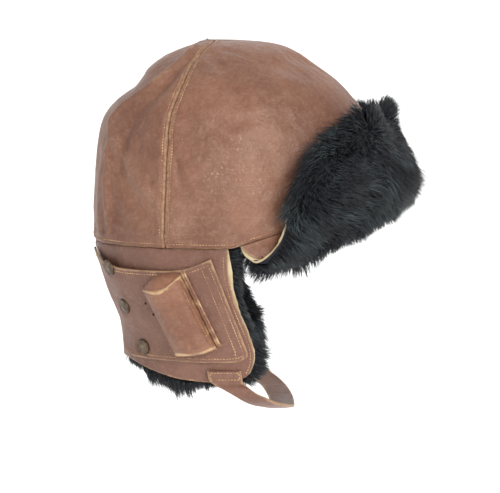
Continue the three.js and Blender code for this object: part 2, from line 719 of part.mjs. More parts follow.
function weltGeometry(side) {
  const near = POUCH_WIDTH / 2 + LAYER_GAP;
  return wall([0, 0.2, 0.8, 1], steps(10, -0.5, 0.44), (u, v, face) => {
    const crest = u === 0 || u === 1 ? 0.7 : 1;
    const { x, z } = pouchPlace(near + WELT_WIDTH * u, v * POUCH_LENGTH);
    return overPanel(side, x, z, LAYER_GAP + (face ? WELT_HEIGHT * crest : 0));
  });
}

// Press stud: a domed cap with a rim

function studGeometry() {
  const radius = STUD_DIAMETER / 2;
  const profile = [
    [0, 0],
    [radius, 0],
    [radius, STUD_HEIGHT * 0.5],
    [radius * 0.7, STUD_HEIGHT * 0.9],
    [0, STUD_HEIGHT],
  ].map(([r, y]) => new THREE.Vector2(r, y));
  return new THREE.LatheGeometry(profile, 12);
}

function studMesh(name, point, normal, standOff) {
  const mesh = new THREE.Mesh(studGeometry(), FINISHES.brass);
  mesh.name = name;
  mesh.position.copy(point).addScaledVector(normal, standOff);
  mesh.quaternion.setFromUnitVectors(new THREE.Vector3(0, 1, 0), normal);
  return mesh;
}

// Chin strap: a whole loop from one ear flap under the chin to the other

function strapStation(share) {
  const half = Math.abs(share);
  const side = share < 0 ? RIGHT : LEFT;
  const rows = STRAP_ROUTE.map((row, index) => ({ ...row, at: index / (STRAP_ROUTE.length - 1) }));
  const at = 1 - half;
  const x = STRAP_ROOT_X + STRAP_FORWARD * read(rows, 'at', 'forward', at);
  const z = -CURTAIN_DROP * 0.94 - STRAP_DROP * read(rows, 'at', 'drop', at);
  const sewn = 1 / (STRAP_ROUTE.length - 1);
  const flap = sidePoint(side, x, z, PANEL_GAP + STRAP_THICKNESS / 2);
  const free = HALF_WIDTH * read(rows, 'at', 'width', at);
  const blend = THREE.MathUtils.smoothstep(at, sewn, 2 * sewn);
  return new THREE.Vector3(x, THREE.MathUtils.lerp(flap.y, side * free, blend), z);
}

function strapNormal(share) {
  const nearby = 0.01;
  const ahead = strapStation(Math.min(share + nearby, 1));
  const tangent = ahead.sub(strapStation(Math.max(share - nearby, -1)));
  return tangent.cross(new THREE.Vector3(1, 0, 0)).normalize();
}

function strapGeometry() {
  return wall([-1, 1], steps(32, -1, 1), (u, v, face) => {
    const root = THREE.MathUtils.smoothstep(Math.abs(v), 0.7, 0.95);
    const width = THREE.MathUtils.lerp(STRAP_WIDTH, STRAP_ROOT_WIDTH, root);
    return strapStation(v).add(new THREE.Vector3((u * width) / 2, 0, 0))
      .addScaledVector(strapNormal(v), (face - 0.5) * STRAP_THICKNESS);
  });
}

// Assembly

const helmet = new THREE.Group();

function add(name, geometry, finish) {
  const mesh = new THREE.Mesh(geometry, FINISHES[finish]);
  mesh.name = name;
  helmet.add(mesh);
}

GORES.forEach((gore) => add(gore.name, goreGeometry(gore), 'leather'));

add('curtain', curtainGeometry(), 'leather');
add('curtain_pelt', curtainPeltGeometry(), 'pelt');
add('curtain_fur', curtainFurGeometry(), 'fur');

add('brow_flap', flapLayerGeometry(-LEATHER, 0, 0), 'leather');
add('brow_pelt', flapLayerGeometry(FLAP_PELT_FACE, FLAP_PELT_FACE + PELT, FLAP_PELT_SHOW), 'pelt');
add('brow_fur', browFurGeometry(), 'fur');

[['right', RIGHT], ['left', LEFT]].forEach(([word, side]) => {
  add(`side_panel_${word}`, panelGeometry(side), 'leather');
  add(`pouch_${word}`, pouchGeometry(side), 'leather');
  add(`pouch_welt_${word}`, weltGeometry(side), 'leather');
  STUDS.forEach((stud, index) => {
    const z = -PANEL_DEPTH * stud.down;
    const ring = curtainRing(z);
    const x = ring.centre + ring.length * Math.cos(THREE.MathUtils.degToRad(stud.angle));
    const point = overPanel(side, x, z, 0);
    const normal = squareTo(overPanel, side, x, z);
    helmet.add(studMesh(`stud_${word}_${index + 1}`, point, normal, STUD_GAP));
  });
});

add('chin_strap', strapGeometry(), 'leather');

const strapEnd = strapStation(STRAP_STUD_SHARE);
const strapStandOff = STRAP_THICKNESS / 2 + STUD_GAP;
helmet.add(studMesh('chin_strap_stud', strapEnd, strapNormal(STRAP_STUD_SHARE), strapStandOff));

export default helmet;
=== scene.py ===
"""Leather flying helmet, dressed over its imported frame.

Metres, +Z up. The wearer looks along +X, and +Y is the wearer's left.
Sizes in the classes are in millimetres and become metres where a mesh is made.
"""

import logging
import math
from dataclasses import dataclass, field
from enum import Enum
from typing import Callable, Sequence

import bpy
import numpy as np
from mathutils import Matrix, Vector
from mathutils.kdtree import KDTree

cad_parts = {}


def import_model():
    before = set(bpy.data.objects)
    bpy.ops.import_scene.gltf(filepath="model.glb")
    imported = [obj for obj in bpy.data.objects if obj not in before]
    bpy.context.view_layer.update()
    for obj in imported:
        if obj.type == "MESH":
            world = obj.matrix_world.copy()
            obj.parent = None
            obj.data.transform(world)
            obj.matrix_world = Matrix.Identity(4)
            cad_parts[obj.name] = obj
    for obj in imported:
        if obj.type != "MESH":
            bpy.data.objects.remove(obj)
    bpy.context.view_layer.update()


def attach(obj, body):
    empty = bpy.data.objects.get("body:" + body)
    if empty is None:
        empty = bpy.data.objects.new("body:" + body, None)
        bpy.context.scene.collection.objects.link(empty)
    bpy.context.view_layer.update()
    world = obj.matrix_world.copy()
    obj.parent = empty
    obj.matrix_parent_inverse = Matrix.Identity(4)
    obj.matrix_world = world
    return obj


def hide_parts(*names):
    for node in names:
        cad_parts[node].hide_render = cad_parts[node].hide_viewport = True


LOG = logging.getLogger("flying_helmet")
MM = 0.001
TINY = 1e-9  # keeps divisions off zero
NEARLY_NOTHING = 1e-12  # the same, for lengths that may be very short
CHUNK = 2000  # points measured at a time
NO_SEAM = -9.0  # a seam distance too far below zero to show
Array = np.ndarray
OnSheet = Callable[[Array, Array, Array], Array]
Colour = tuple[float, float, float]
Piece = bpy.types.Object
Material = bpy.types.Material
Socket = bpy.types.NodeSocket


class Side(Enum):
    """A side of the wearer. The value is the sign of Y there."""

    RIGHT = -1
    LEFT = 1

    @property
    def word(self) -> str:
        """The side's name in piece names."""
        return self.name.lower()


# Numbers and surfaces


@dataclass(frozen=True)
class Table:
    """Named columns of sizes, read on a smooth curve through their rows."""

    names: tuple[str, ...]
    rows: tuple[tuple[float, ...], ...]

    def read(self, name: str, at: Array) -> Array:
        """Reads a column between its rows.

        Args:
            name: The column to read.
            at: Values of the first column.

        Returns:
            The column's values there.
        """
        data = np.array(self.rows, dtype=float)
        keys, values = data[:, 0], data[:, self.names.index(name)]
        last = len(keys) - 1
        after = np.minimum(np.arange(last + 1) + 1, last)
        before = np.maximum(np.arange(last + 1) - 1, 0)
        slopes = (values[after] - values[before]) / (keys[after] - keys[before])
        at = np.clip(np.asarray(at, dtype=float), keys[0], keys[-1])
        i = np.clip(np.searchsorted(keys, at, side="right") - 1, 0, last - 1)
        span = keys[i + 1] - keys[i]
        t = (at - keys[i]) / span
        ease = t * t * (3 - 2 * t)
        held = values[i] * (1 - ease) + values[i + 1] * ease
        return held + span * t * (1 - t) * (slopes[i] * (1 - t) - slopes[i + 1] * t)


@dataclass(frozen=True)
class Ring:
    """A level section of the helmet, an oval a little wider at the back."""

    centre: Array
    length: Array
    width: Array
    taper: float = 0.06

    def point(self, angle: Array, z: Array, out: Array) -> Array:
        """Points on the oval, pushed out level from it.

        Args:
            angle: Radians from straight ahead towards the wearer's left.
            z: Heights.
            out: Distances outwards.

        Returns:
            Points, one row each.
        """
        cos, sin = np.cos(angle), np.sin(angle)
        x = self.centre + self.length * cos
        y = self.width * sin * (1 - self.taper * cos)
        along_x = -self.length * sin
        along_y = self.width * (cos * (1 - self.taper * cos) + self.taper * sin * sin)
        size = np.hypot(along_x, along_y) + TINY
        x, y, z = np.broadcast_arrays(x + along_y / size * out, y - along_x / size * out, z)
        return np.stack([x, y, z], axis=-1)

    def angle_at(self, x: Array) -> Array:
        """Angles of the places that lie this far ahead."""
        return np.arccos(np.clip((np.asarray(x) - self.centre) / self.length, -1, 1))


def unit(vectors: Array) -> Array:
    """Vectors brought to a length of one."""
    return vectors / (np.linalg.norm(vectors, axis=-1, keepdims=True) + NEARLY_NOTHING)


def smooth(low: float, high: float, value: Array) -> Array:
    """An eased step from 0 at low to 1 at high."""
    t = np.clip((np.asarray(value, dtype=float) - low) / (high - low), 0, 1)
    return t * t * (3 - 2 * t)


def bell(distance: Array, width: float) -> Array:
    """A smooth hump of height one over a distance."""
    return np.exp(-np.square(np.asarray(distance) / width))


def lumps(points: Array, size: float, seed: int) -> Array:
    """Soft repeatable unevenness over a surface.

    Args:
        points: Points in millimetres, one row each.
        size: Rough size of a lump in millimetres.
        seed: Chooses the pattern.

    Returns:
        Values between about -1 and 1.
    """
    rng = np.random.default_rng(seed)
    heading = unit(rng.normal(size=(9, 3))) * rng.uniform(0.7, 1.4, size=(9, 1))
    phase = rng.uniform(0, 2 * np.pi, size=9)
    return np.sin(points @ heading.T * (2 * np.pi / size) + phase).sum(axis=-1) / 3


def path_distance(points: Array, path: Array) -> Array:
    """Distance from each point to a line of straight steps.

    Args:
        points: Points, one row each.
        path: The line's corners, one row each.

    Returns:
        One distance for each point.
    """
    starts, steps = path[:-1], np.diff(path, axis=0)
    square = np.maximum((steps**2).sum(axis=1), TINY)
    nearest = np.full(len(points), np.inf)
    for chunk in range(0, len(points), CHUNK):
        part = points[chunk : chunk + CHUNK, None, :] - starts[None]
        share = np.clip((part * steps[None]).sum(axis=2) / square, 0, 1)
        gap = part - share[..., None] * steps[None]
        nearest[chunk : chunk + CHUNK] = np.sqrt((gap**2).sum(axis=2).min(axis=1))
    return nearest


def resample(path: Array, pitch: float) -> tuple[Array, Array]:
    """Even places along a line.

    Args:
        path: The line's corners, one row each.
        pitch: Wanted distance between places.

    Returns:
        The places, and each one's share of the whole length.
    """
    run = np.concatenate([[0], np.cumsum(np.linalg.norm(np.diff(path, axis=0), axis=1))])
    count = max(int(round(run[-1] / pitch)), 1)
    at = (np.arange(count) + 0.5) * run[-1] / count
    places = np.stack([np.interp(at, run, path[:, axis]) for axis in range(3)], axis=1)
    return places, at / run[-1]


# Forms that the pieces lie on


@dataclass(frozen=True)
class Fold:
    """A ridge or hollow pressed into the crown, in shares of its half width and height."""

    angle: float
    height: float
    depth: float
    spread: float
    tall: float


@dataclass(frozen=True)
class CrownForm:
    """The crown's outer face."""

    height: float = 158
    front_reach: float = 114
    back_reach: float = 115
    half_width: float = 92
    apex_hole: float = 0.15
    brow_rise: float = 36
    seam_angle: float = 117
    leather: float = 1.8
    sections: Table = Table(
        ("height", "front", "back", "side"),
        (
            (0.00, 0.950, 0.978, 0.940),
            (0.10, 0.985, 0.998, 0.978),
            (0.30, 1.000, 0.988, 1.000),
            (0.50, 0.965, 0.960, 0.965),
            (0.62, 0.910, 0.915, 0.900),
            (0.72, 0.805, 0.818, 0.812),
            (0.80, 0.698, 0.712, 0.705),
            (0.88, 0.545, 0.592, 0.555),
            (0.94, 0.420, 0.458, 0.405),
            (0.98, 0.265, 0.305, 0.240),
            (0.996, 0.040, 0.215, 0.090),
            (1.00, -0.185, 0.190, 0.000),
        ),
    )
    folds: tuple[Fold, ...] = (
        Fold(155, 0.30, 0.034, 6, 0.36),
        Fold(138, 0.42, -0.024, 9, 0.30),
        Fold(172, 0.785, -0.058, 26, 0.065),
        Fold(180, 0.35, -0.010, 12, 0.30),
        Fold(205, 0.30, 0.028, 7, 0.34),
        Fold(222, 0.42, -0.018, 9, 0.30),
    )

    def ring(self, z: Array) -> Ring:
        """The level section at a height."""
        height = np.asarray(z, dtype=float) / self.height
        front = self.front_reach * self.sections.read("front", height)
        back = self.back_reach * self.sections.read("back", height)
        side = self.half_width * self.sections.read("side", height)
        length = np.maximum((front + back) / 2, self.apex_hole)
        return Ring((front - back) / 2, length, np.maximum(side, self.apex_hole))

    def edge(self, angle: Array) -> Array:
        """Height of the crown's lower edge at an angle in radians."""
        return self.brow_rise * np.maximum(np.cos(angle), 0)

    def fold(self, degrees: Array, height: Array) -> Array:
        """How far the pressed folds push the face out.

        Args:
            degrees: Turn from straight ahead.
            height: Share of the crown's height.

        Returns:
            Distances outwards.
        """
        turn = np.mod(degrees, 360)
        total = np.zeros(np.broadcast(turn, height).shape)
        for fold in self.folds:
            across, upward = (turn - fold.angle) / fold.spread, (height - fold.height) / fold.tall
            total = total + self.half_width * fold.depth * np.exp(-across * across - upward * upward)
        return total

    def surface(self, degrees: Array, share: Array) -> Array:
        """Points of the face.

        Args:
            degrees: Turn from straight ahead towards the wearer's right.
            share: 0 at the lower edge and 1 at the apex.

        Returns:
            Points, one row each.
        """
        angle = np.radians(-np.asarray(degrees, dtype=float))
        edge = self.edge(angle)
        z = edge + (self.height - edge) * share
        return self.ring(z).point(angle, z, self.fold(degrees, z / self.height))

    def point(self, degrees: Array, share: Array, out: Array) -> Array:
        """Points of the face, moved out square to it.

        Args:
            degrees: Turn from straight ahead.
            share: 0 at the lower edge and 1 at the apex.
            out: Distances outwards.

        Returns:
            Points, one row each.
        """
        turn, climb = 0.5, 0.002
        lower = np.minimum(share, 1 - climb)
        along = unit(self.surface(degrees + turn, share) - self.surface(degrees - turn, share))
        upward = unit(self.surface(degrees, lower + climb) - self.surface(degrees, lower))
        normal = unit(np.cross(upward, along))
        return self.surface(degrees, share) + normal * np.asarray(out)[..., None]

    def side_point(self, side: Side, x: float, z: float) -> list[float]:
        """A point of the face on one side, by its distance ahead and its height."""
        ring = self.ring(np.array(z))
        return ring.point(side.value * ring.angle_at(x), z, 0).tolist()


@dataclass(frozen=True)
class CurtainForm:
    """The leather face of the neck curtain and both ear flaps."""

    drop: float = 105
    back_reach: float = 115
    half_width: float = 92
    brow_rise: float = 36
    seam_gap: float = 0.3
    leather: float = 1.8
    pelt: float = 1.6
    layer_gap: float = 0.35
    pelt_show: float = 3.5
    pile: float = 6.5
    sections: Table = Table(
        ("depth", "back", "side", "centre"),
        (
            (0.00, 0.978, 0.940, 0.000),
            (0.28, 0.905, 0.905, 0.004),
            (0.48, 0.840, 0.865, 0.012),
            (0.63, 0.800, 0.825, 0.024),
            (0.82, 0.779, 0.780, 0.040),
            (1.00, 0.770, 0.740, 0.052),
        ),
    )
    front: Table = Table(
        ("down", "angle"),
        (
            (0.00, 92.5),
            (0.19, 92.5),
            (0.39, 90),
            (0.60, 86),
            (0.75, 83.5),
            (0.88, 84.5),
            (0.965, 89),
            (1.00, 97),
        ),
    )
    hem: Table = Table(
        ("angle", "drop"),
        (
            (80, 1.00),
            (105, 1.00),
            (120, 0.985),
            (135, 0.945),
            (150, 0.900),
            (165, 0.880),
            (180, 0.875),
        ),
    )

    @property
    def half_round(self) -> float:
        """Rough length of the curtain from its middle to one front edge."""
        return math.pi / 4 * (self.back_reach + self.half_width)

    @property
    def fur_face(self) -> float:
        """Where the fur starts, inwards from the leather's face."""
        return -self.leather - self.layer_gap - self.pelt - self.layer_gap

    def ring(self, z: Array) -> Ring:
        """The level section at a height below the crown seam."""
        depth = -np.asarray(z, dtype=float) / self.drop
        centre = self.back_reach * self.sections.read("centre", depth)
        length = self.back_reach * self.sections.read("back", depth) + centre
        return Ring(centre, length, self.half_width * self.sections.read("side", depth))

    def point(self, u: Array, v: Array, out: Array) -> Array:
        """Points of the curtain.

        Args:
            u: -1 at the right front edge, 0 at the nape and 1 at the left front edge.
            v: 0 at the crown seam and 1 at the hem.
            out: Distances out from the leather's face.

        Returns:
            Points, one row each.
        """
        u, v = np.asarray(u, dtype=float), np.asarray(v, dtype=float)
        beyond = np.maximum(np.abs(u) - 1, 0) * np.minimum(0.1 + v / 0.15, 1)
        reach = np.minimum(np.abs(u), 1) + beyond
        degrees = 180 - reach * (180 - self.front.read("angle", v))
        angle = np.radians(degrees)
        top = self.brow_rise * np.maximum(np.cos(angle), 0) - self.seam_gap
        z = top + (-self.drop * self.hem.read("drop", degrees) - top) * v
        return self.ring(z).point(np.where(u < 0, -angle, angle), z, out)

    def side_point(self, side: Side, x: Array, z: Array, out: Array) -> Array:
        """Points on one ear flap by their distance ahead and their height."""
        ring = self.ring(z)
        return ring.point(side.value * ring.angle_at(x), z, out)


@dataclass(frozen=True)
class FlapForm:
    """The brow flap: hangs from the crown edge, folds under and turns up outside."""

    crown: CrownForm = CrownForm()
    stand: float = 10
    height: float = 80
    drop: float = 18
    pelt: float = 1.6
    pelt_show: float = 3.5
    layer_gap: float = 0.35
    pile: float = 20
    inner_pile: float = 3
    seam_gap: float = 0.3
    half_turn: float = 70
    sections: Table = Table(
        ("angle", "drop", "rise", "stand", "pile"),
        (
            (0, 0.28, 0.84, 1.00, 1.00),
            (20, 0.40, 0.88, 1.00, 1.00),
            (38, 0.70, 0.97, 0.90, 0.95),
            (52, 0.92, 0.96, 0.80, 0.85),
            (60, 1.00, 0.87, 0.70, 0.78),
            (66, 1.00, 0.70, 0.60, 0.70),
            (72, 0.97, 0.45, 0.55, 0.62),
            (90, 0.55, 0.20, 0.50, 0.50),
        ),
    )
    path: Table = Table(
        ("along", "down", "up", "out", "end", "fur"),
        (
            (0.00, 0.00, 0.00, 0.00, 86, 0.00),
            (0.10, 0.55, 0.00, 0.00, 83.5, 0.00),
            (0.18, 0.90, 0.00, 0.16, 80.5, 0.16),
            (0.25, 1.00, 0.00, 0.50, 78, 0.52),
            (0.33, 1.00, 0.09, 0.88, 75, 0.78),
            (0.50, 1.00, 0.32, 1.00, 71, 1.00),
            (0.70, 1.00, 0.60, 1.00, 69, 0.98),
            (0.88, 1.00, 0.86, 0.84, 68, 0.82),
            (1.00, 1.00, 1.00, 0.66, 67, 0.70),
        ),
    )

    @property
    def half_round(self) -> float:
        """Rough length of the flap from its middle to one end."""
        return math.radians(self.half_turn) * self.crown.half_width

    @property
    def fur_face(self) -> float:
        """Where the fur starts, out from the leather."""
        return self.layer_gap + self.pelt + self.layer_gap

    def section(self, degrees: Array, along: Array) -> tuple[Array, Array]:
        """Stand-off from the crown and height, at an angle and a share of the flap's path.

        Args:
            degrees: Turn from straight ahead.
            along: Share of the path from the crown edge.

        Returns:
            Distances out from the crown, and heights.
        """
        edge = self.crown.edge(np.radians(degrees))
        drop = self.drop * self.sections.read("drop", degrees)
        rise = self.height * self.sections.read("rise", degrees)
        stand = self.stand * self.sections.read("stand", degrees)
        leather = self.crown.leather
        out = -leather + (stand + leather) * self.path.read("out", along)
        fall, climb = self.path.read("down", along), self.path.read("up", along)
        return out, edge - self.seam_gap - drop * fall + rise * climb

    def point(self, u: Array, v: Array, depth: Array) -> Array:
        """Points of the flap.

        Args:
            u: -1 at the right end, 0 in front and 1 at the left end.
            v: 0 at the crown edge and 1 at the turned-up edge.
            depth: Distances from the leather towards the fur.

        Returns:
            Points, one row each.
        """
        u, v = np.asarray(u, dtype=float), np.asarray(v, dtype=float)
        beyond = np.maximum(np.abs(u) - 1, 0) * np.minimum(0.1 + v / 0.2, 1)
        degrees = (np.minimum(np.abs(u), 1) + beyond) * self.path.read("end", v)
        out, z = self.section(degrees, v)
        out_after, z_after = self.section(degrees, np.minimum(v + 0.01, 1))
        out_before, z_before = self.section(degrees, np.maximum(np.minimum(v, 1) - 0.01, 0))
        run_out, run_z = out_after - out_before, z_after - z_before
        size = np.hypot(run_out, run_z) + TINY
        run_out, run_z = run_out / size, run_z / size
        more = np.maximum(v - 1, 0) * self.height
        out = out + run_out * more + run_z * depth
        z = z + run_z * more - run_out * depth
        angle = np.radians(degrees)
        ring = self.crown.ring(np.maximum(z, 0))
        return ring.point(np.where(u < 0, -angle, angle), z, out)

    def fur_depth(self, u: Array, v: Array) -> Array:
        """Depth of the fur's pile."""
        end = self.path.read("end", v)
        round_share = self.sections.read("pile", np.abs(u) * end)
        return self.inner_pile + (self.pile - self.inner_pile) * round_share * self.path.read("fur", v)


@dataclass(frozen=True)
class PanelForm:
    """The side panel over one ear, its upper edge standing off as a pocket mouth."""

    curtain: CurtainForm = CurtainForm()
    leather: float = 1.6
    gap: float = 0.5
    depth: float = 80
    mouth_lift: float = 4
    rear_angle: float = 168
    rear_turn: float = 6
    front_x: float = -20
    front_lean: float = 30
    outline: Table = Table(
        ("along", "top", "bottom", "lift"),
        (
            (0.00, 0.06, 1.09, 0.20),
            (0.12, 0.15, 1.11, 0.70),
            (0.30, 0.21, 1.11, 1.00),
            (0.55, 0.22, 1.11, 0.55),
            (0.80, 0.20, 1.11, 0.25),
            (0.94, 0.13, 1.10, 0.05),
            (1.00, 0.09, 1.05, 0.00),
        ),
    )

    @property
    def face(self) -> float:
        """The panel's outer face, out from the curtain."""
        return self.gap + self.leather

    def span(self, depth: Array) -> tuple[Array, Array]:
        """Angles of the rear and front edges at a depth, in radians."""
        ring = self.curtain.ring(-np.asarray(depth, dtype=float))
        share = np.asarray(depth, dtype=float) / self.depth
        front_x = self.front_x + self.front_lean * np.minimum(share, 1)
        rear = np.radians(self.rear_angle - self.rear_turn * share)
        return rear, ring.angle_at(front_x)

    def edges(self, along: Array) -> tuple[Array, Array]:
        """Depths of the upper and lower edges."""
        top, bottom = self.outline.read("top", along), self.outline.read("bottom", along)
        return self.depth * top, self.depth * bottom

    def lift(self, angle: Array, depth: Array) -> Array:
        """How far the mouth stands off.

        Args:
            angle: Angles in radians.
            depth: Distances below the crown seam.

        Returns:
            Distances outwards.
        """
        rear, front = self.span(depth)
        along = (rear - angle) / (rear - front)
        top, bottom = self.edges(along)
        down = np.clip((depth - top) / (bottom - top), 0, 1)
        return self.mouth_lift * self.outline.read("lift", along) * np.power(1 - down, 3)

    def point(self, side: Side, along: Array, down: Array, out: Array) -> Array:
        """Points of the panel: along from its rear edge, down from its mouth.

        Args:
            side: Which panel.
            along: Share of the way from the rear edge.
            down: Share of the way from the mouth.
            out: Distances out from the curtain.

        Returns:
            Points, one row each.
        """
        top, bottom = self.edges(along)
        depth = top + (bottom - top) * down
        rear, front = self.span(depth)
        angle = rear + (front - rear) * along
        ring = self.curtain.ring(-depth)
        return ring.point(side.value * angle, -depth, out + self.lift(angle, depth))

    def over(self, side: Side, x: Array, z: Array, out: Array) -> Array:
        """Points over the panel's outer face by their distance ahead and their height.

        Args:
            side: Which panel.
            x: Distances ahead.
            z: Heights.
            out: Distances outwards.

        Returns:
            Points, one row each.
        """
        x, z = np.asarray(x, dtype=float), np.asarray(z, dtype=float)
        ring = self.curtain.ring(z)
        angle = ring.angle_at(x)
        return ring.point(side.value * angle, z, self.face + self.lift(angle, -z) + out)

    def square(self, side: Side, x: Array, z: Array) -> Array:
        """Directions square to the panel."""
        ahead = self.over(side, x + 1, z, 0) - self.over(side, x - 1, z, 0)
        above = self.over(side, x, z + 1, 0) - self.over(side, x, z - 1, 0)
        return unit(np.cross(ahead, above) * -side.value)


# Mesh helpers


def enter(mode: str) -> None:
    """Enters object or edit mode."""
    bpy.ops.object.mode_set(mode=mode)


def rest_selection() -> None:
    """Leaves object mode with nothing selected."""
    if bpy.context.object and bpy.context.object.mode != "OBJECT":
        enter("OBJECT")
    bpy.ops.object.select_all(action="DESELECT")


def named(name: str) -> Piece:
    """Names the newly added primitive.

    Args:
        name: The piece's name.

    Returns:
        The object.
    """
    piece = bpy.context.active_object
    piece.name = name
    piece.data.name = name
    return piece


def corners_of(mesh: bpy.types.Mesh) -> Array:
    """A mesh's vertices, one row each."""
    flat = np.empty(len(mesh.vertices) * 3)
    mesh.vertices.foreach_get("co", flat)
    return flat.reshape(-1, 3)


def move_corners(mesh: bpy.types.Mesh, points: Array) -> None:
    """Moves a mesh's vertices."""
    mesh.vertices.foreach_set("co", np.ascontiguousarray(points, dtype=np.float32).ravel())
    mesh.update()


def mark(mesh: bpy.types.Mesh, name: str, values: Array) -> None:
    """Stores a number for each vertex, which the finishes read."""
    layer = mesh.attributes.new(name, "FLOAT", "POINT")
    layer.data.foreach_set("value", np.ascontiguousarray(values, dtype=np.float32))


def pick(piece: Piece) -> None:
    """Selects one piece alone and makes it the active one."""
    rest_selection()
    piece.select_set(True)
    bpy.context.view_layer.objects.active = piece


def apply_modifiers(piece: Piece) -> None:
    """Applies a piece's modifiers in order."""
    pick(piece)
    for modifier in list(piece.modifiers):
        bpy.ops.object.modifier_apply(modifier=modifier.name)


def bevel(piece: Piece, width: float, degrees: float) -> None:
    """Rounds the corners of a piece that are sharper than an angle.

    Args:
        piece: The piece.
        width: Width of the rounding in millimetres.
        degrees: The angle.
    """
    edge = piece.modifiers.new("edge", "BEVEL")
    edge.width = width * MM
    edge.segments = 2
    edge.limit_method = "ANGLE"
    edge.angle_limit = math.radians(degrees)


def step_top(piece: Piece, inset: float, lift: float) -> None:
    """Draws in the top face of a round piece and moves it up.

    Args:
        piece: The piece.
        inset: How far the face is drawn in, in millimetres.
        lift: How far it then moves up, in millimetres.
    """
    enter("EDIT")
    bpy.ops.mesh.select_mode(type="FACE")
    bpy.ops.mesh.select_all(action="DESELECT")
    enter("OBJECT")
    top = max(piece.data.polygons, key=lambda face: (len(face.vertices), face.center.z))
    top.select = True
    enter("EDIT")
    bpy.ops.mesh.inset(thickness=inset * MM)
    bpy.ops.transform.translate(value=(0, 0, lift * MM))
    enter("OBJECT")


def soften(piece: Piece, degrees: float) -> None:
    """Shades a piece smooth, apart from edges sharper than an angle."""
    pick(piece)
    bpy.ops.object.shade_smooth_by_angle(angle=math.radians(degrees))


def no_seam(u: Array, v: Array, base: Array) -> Array:
    """The seam mark of leather that has no seam."""
    return np.full(len(u), NO_SEAM)


@dataclass
class Cut:
    """How a sheet is cut and laid on its form."""

    name: str
    columns: int
    rows: int
    place: OnSheet
    thickness: float
    roll: float = 0.45
    crowd_columns: float = 0.0
    crowd_rows: float = 0.0
    rolled_above: float = 55
    smooth_up_to: float = 60
    relief: OnSheet | None = None
    marks: dict[str, OnSheet] = field(default_factory=dict)

    def lay(self) -> Piece:
        """Adds a grid, lays it on the form and gives it its thickness.

        Returns:
            The finished sheet, with material places for face, inside and cut edge.
        """
        rest_selection()
        bpy.ops.mesh.primitive_grid_add(x_subdivisions=self.columns, y_subdivisions=self.rows, size=1)
        piece = named(self.name)
        flat = corners_of(piece.data)
        u, v = flat[:, 0] + 0.5, flat[:, 1] + 0.5
        u = u - self.crowd_columns * np.sin(2 * np.pi * u) / (2 * np.pi)
        v = v - self.crowd_rows * np.sin(2 * np.pi * v) / (2 * np.pi)
        flat_out = np.zeros(len(u))
        base = self.place(u, v, flat_out)
        out = self.relief(u, v, base) if self.relief else flat_out
        move_corners(piece.data, self.place(u, v, out) * MM)
        for name, read in self.marks.items():
            mark(piece.data, name, read(u, v, base))
        self._face_outwards(piece, unit(self.place(u, v, out + 1) - self.place(u, v, out)))
        for _ in range(3):
            piece.data.materials.append(None)
        wall = piece.modifiers.new("wall", "SOLIDIFY")
        wall.thickness = self.thickness * MM
        wall.offset = -1
        wall.use_even_offset = False
        wall.material_offset = 1
        wall.material_offset_rim = 2
        bevel(piece, self.roll, self.rolled_above)
        apply_modifiers(piece)
        soften(piece, self.smooth_up_to)
        return piece

    @staticmethod
    def _face_outwards(piece: Piece, outward: Array) -> None:
        """Turns the sheet's faces towards its outer side."""
        normals = np.empty(len(piece.data.vertices) * 3)
        piece.data.vertices.foreach_get("normal", normals)
        if (normals.reshape(-1, 3) * outward).sum() < 0:
            piece.data.flip_normals()


@dataclass(frozen=True)
class Template:
    """A small shape that is modelled once and copied many times."""

    points: Array
    faces: list[tuple[int, ...]]

    @classmethod
    def taken(cls, piece: Piece) -> "Template":
        """Takes the shape from an object and removes the object."""
        points = corners_of(piece.data).copy()
        faces = [tuple(face.vertices) for face in piece.data.polygons]
        mesh = piece.data
        bpy.data.objects.remove(piece)
        bpy.data.meshes.remove(mesh)
        return cls(points, faces)

    def copies(self, name: str, places: Array) -> Piece:
        """Makes one mesh of copies.

        Args:
            name: The piece's name.
            places: The template's vertices for each copy, (copies, vertices, 3) in millimetres.

        Returns:
            The object.
        """
        count, size = places.shape[0], len(self.points)
        loops = np.concatenate([np.array(face) for face in self.faces])
        sizes = np.array([len(face) for face in self.faces])
        all_loops = (loops[None, :] + size * np.arange(count)[:, None]).ravel()
        all_sizes = np.tile(sizes, count)
        starts = np.concatenate([[0], np.cumsum(all_sizes)[:-1]])
        mesh = bpy.data.meshes.new(name)
        mesh.vertices.add(count * size)
        mesh.vertices.foreach_set("co", (places * MM).astype(np.float32).ravel())
        mesh.loops.add(len(all_loops))
        mesh.loops.foreach_set("vertex_index", all_loops.astype(np.int32))
        mesh.polygons.add(len(all_sizes))
        mesh.polygons.foreach_set("loop_start", starts.astype(np.int32))
        mesh.update(calc_edges=True)
        mesh.polygons.foreach_set("use_smooth", np.ones(len(all_sizes), dtype=bool))
        mesh.validate()
        piece = bpy.data.objects.new(name, mesh)
        bpy.context.scene.collection.objects.link(piece)
        return piece


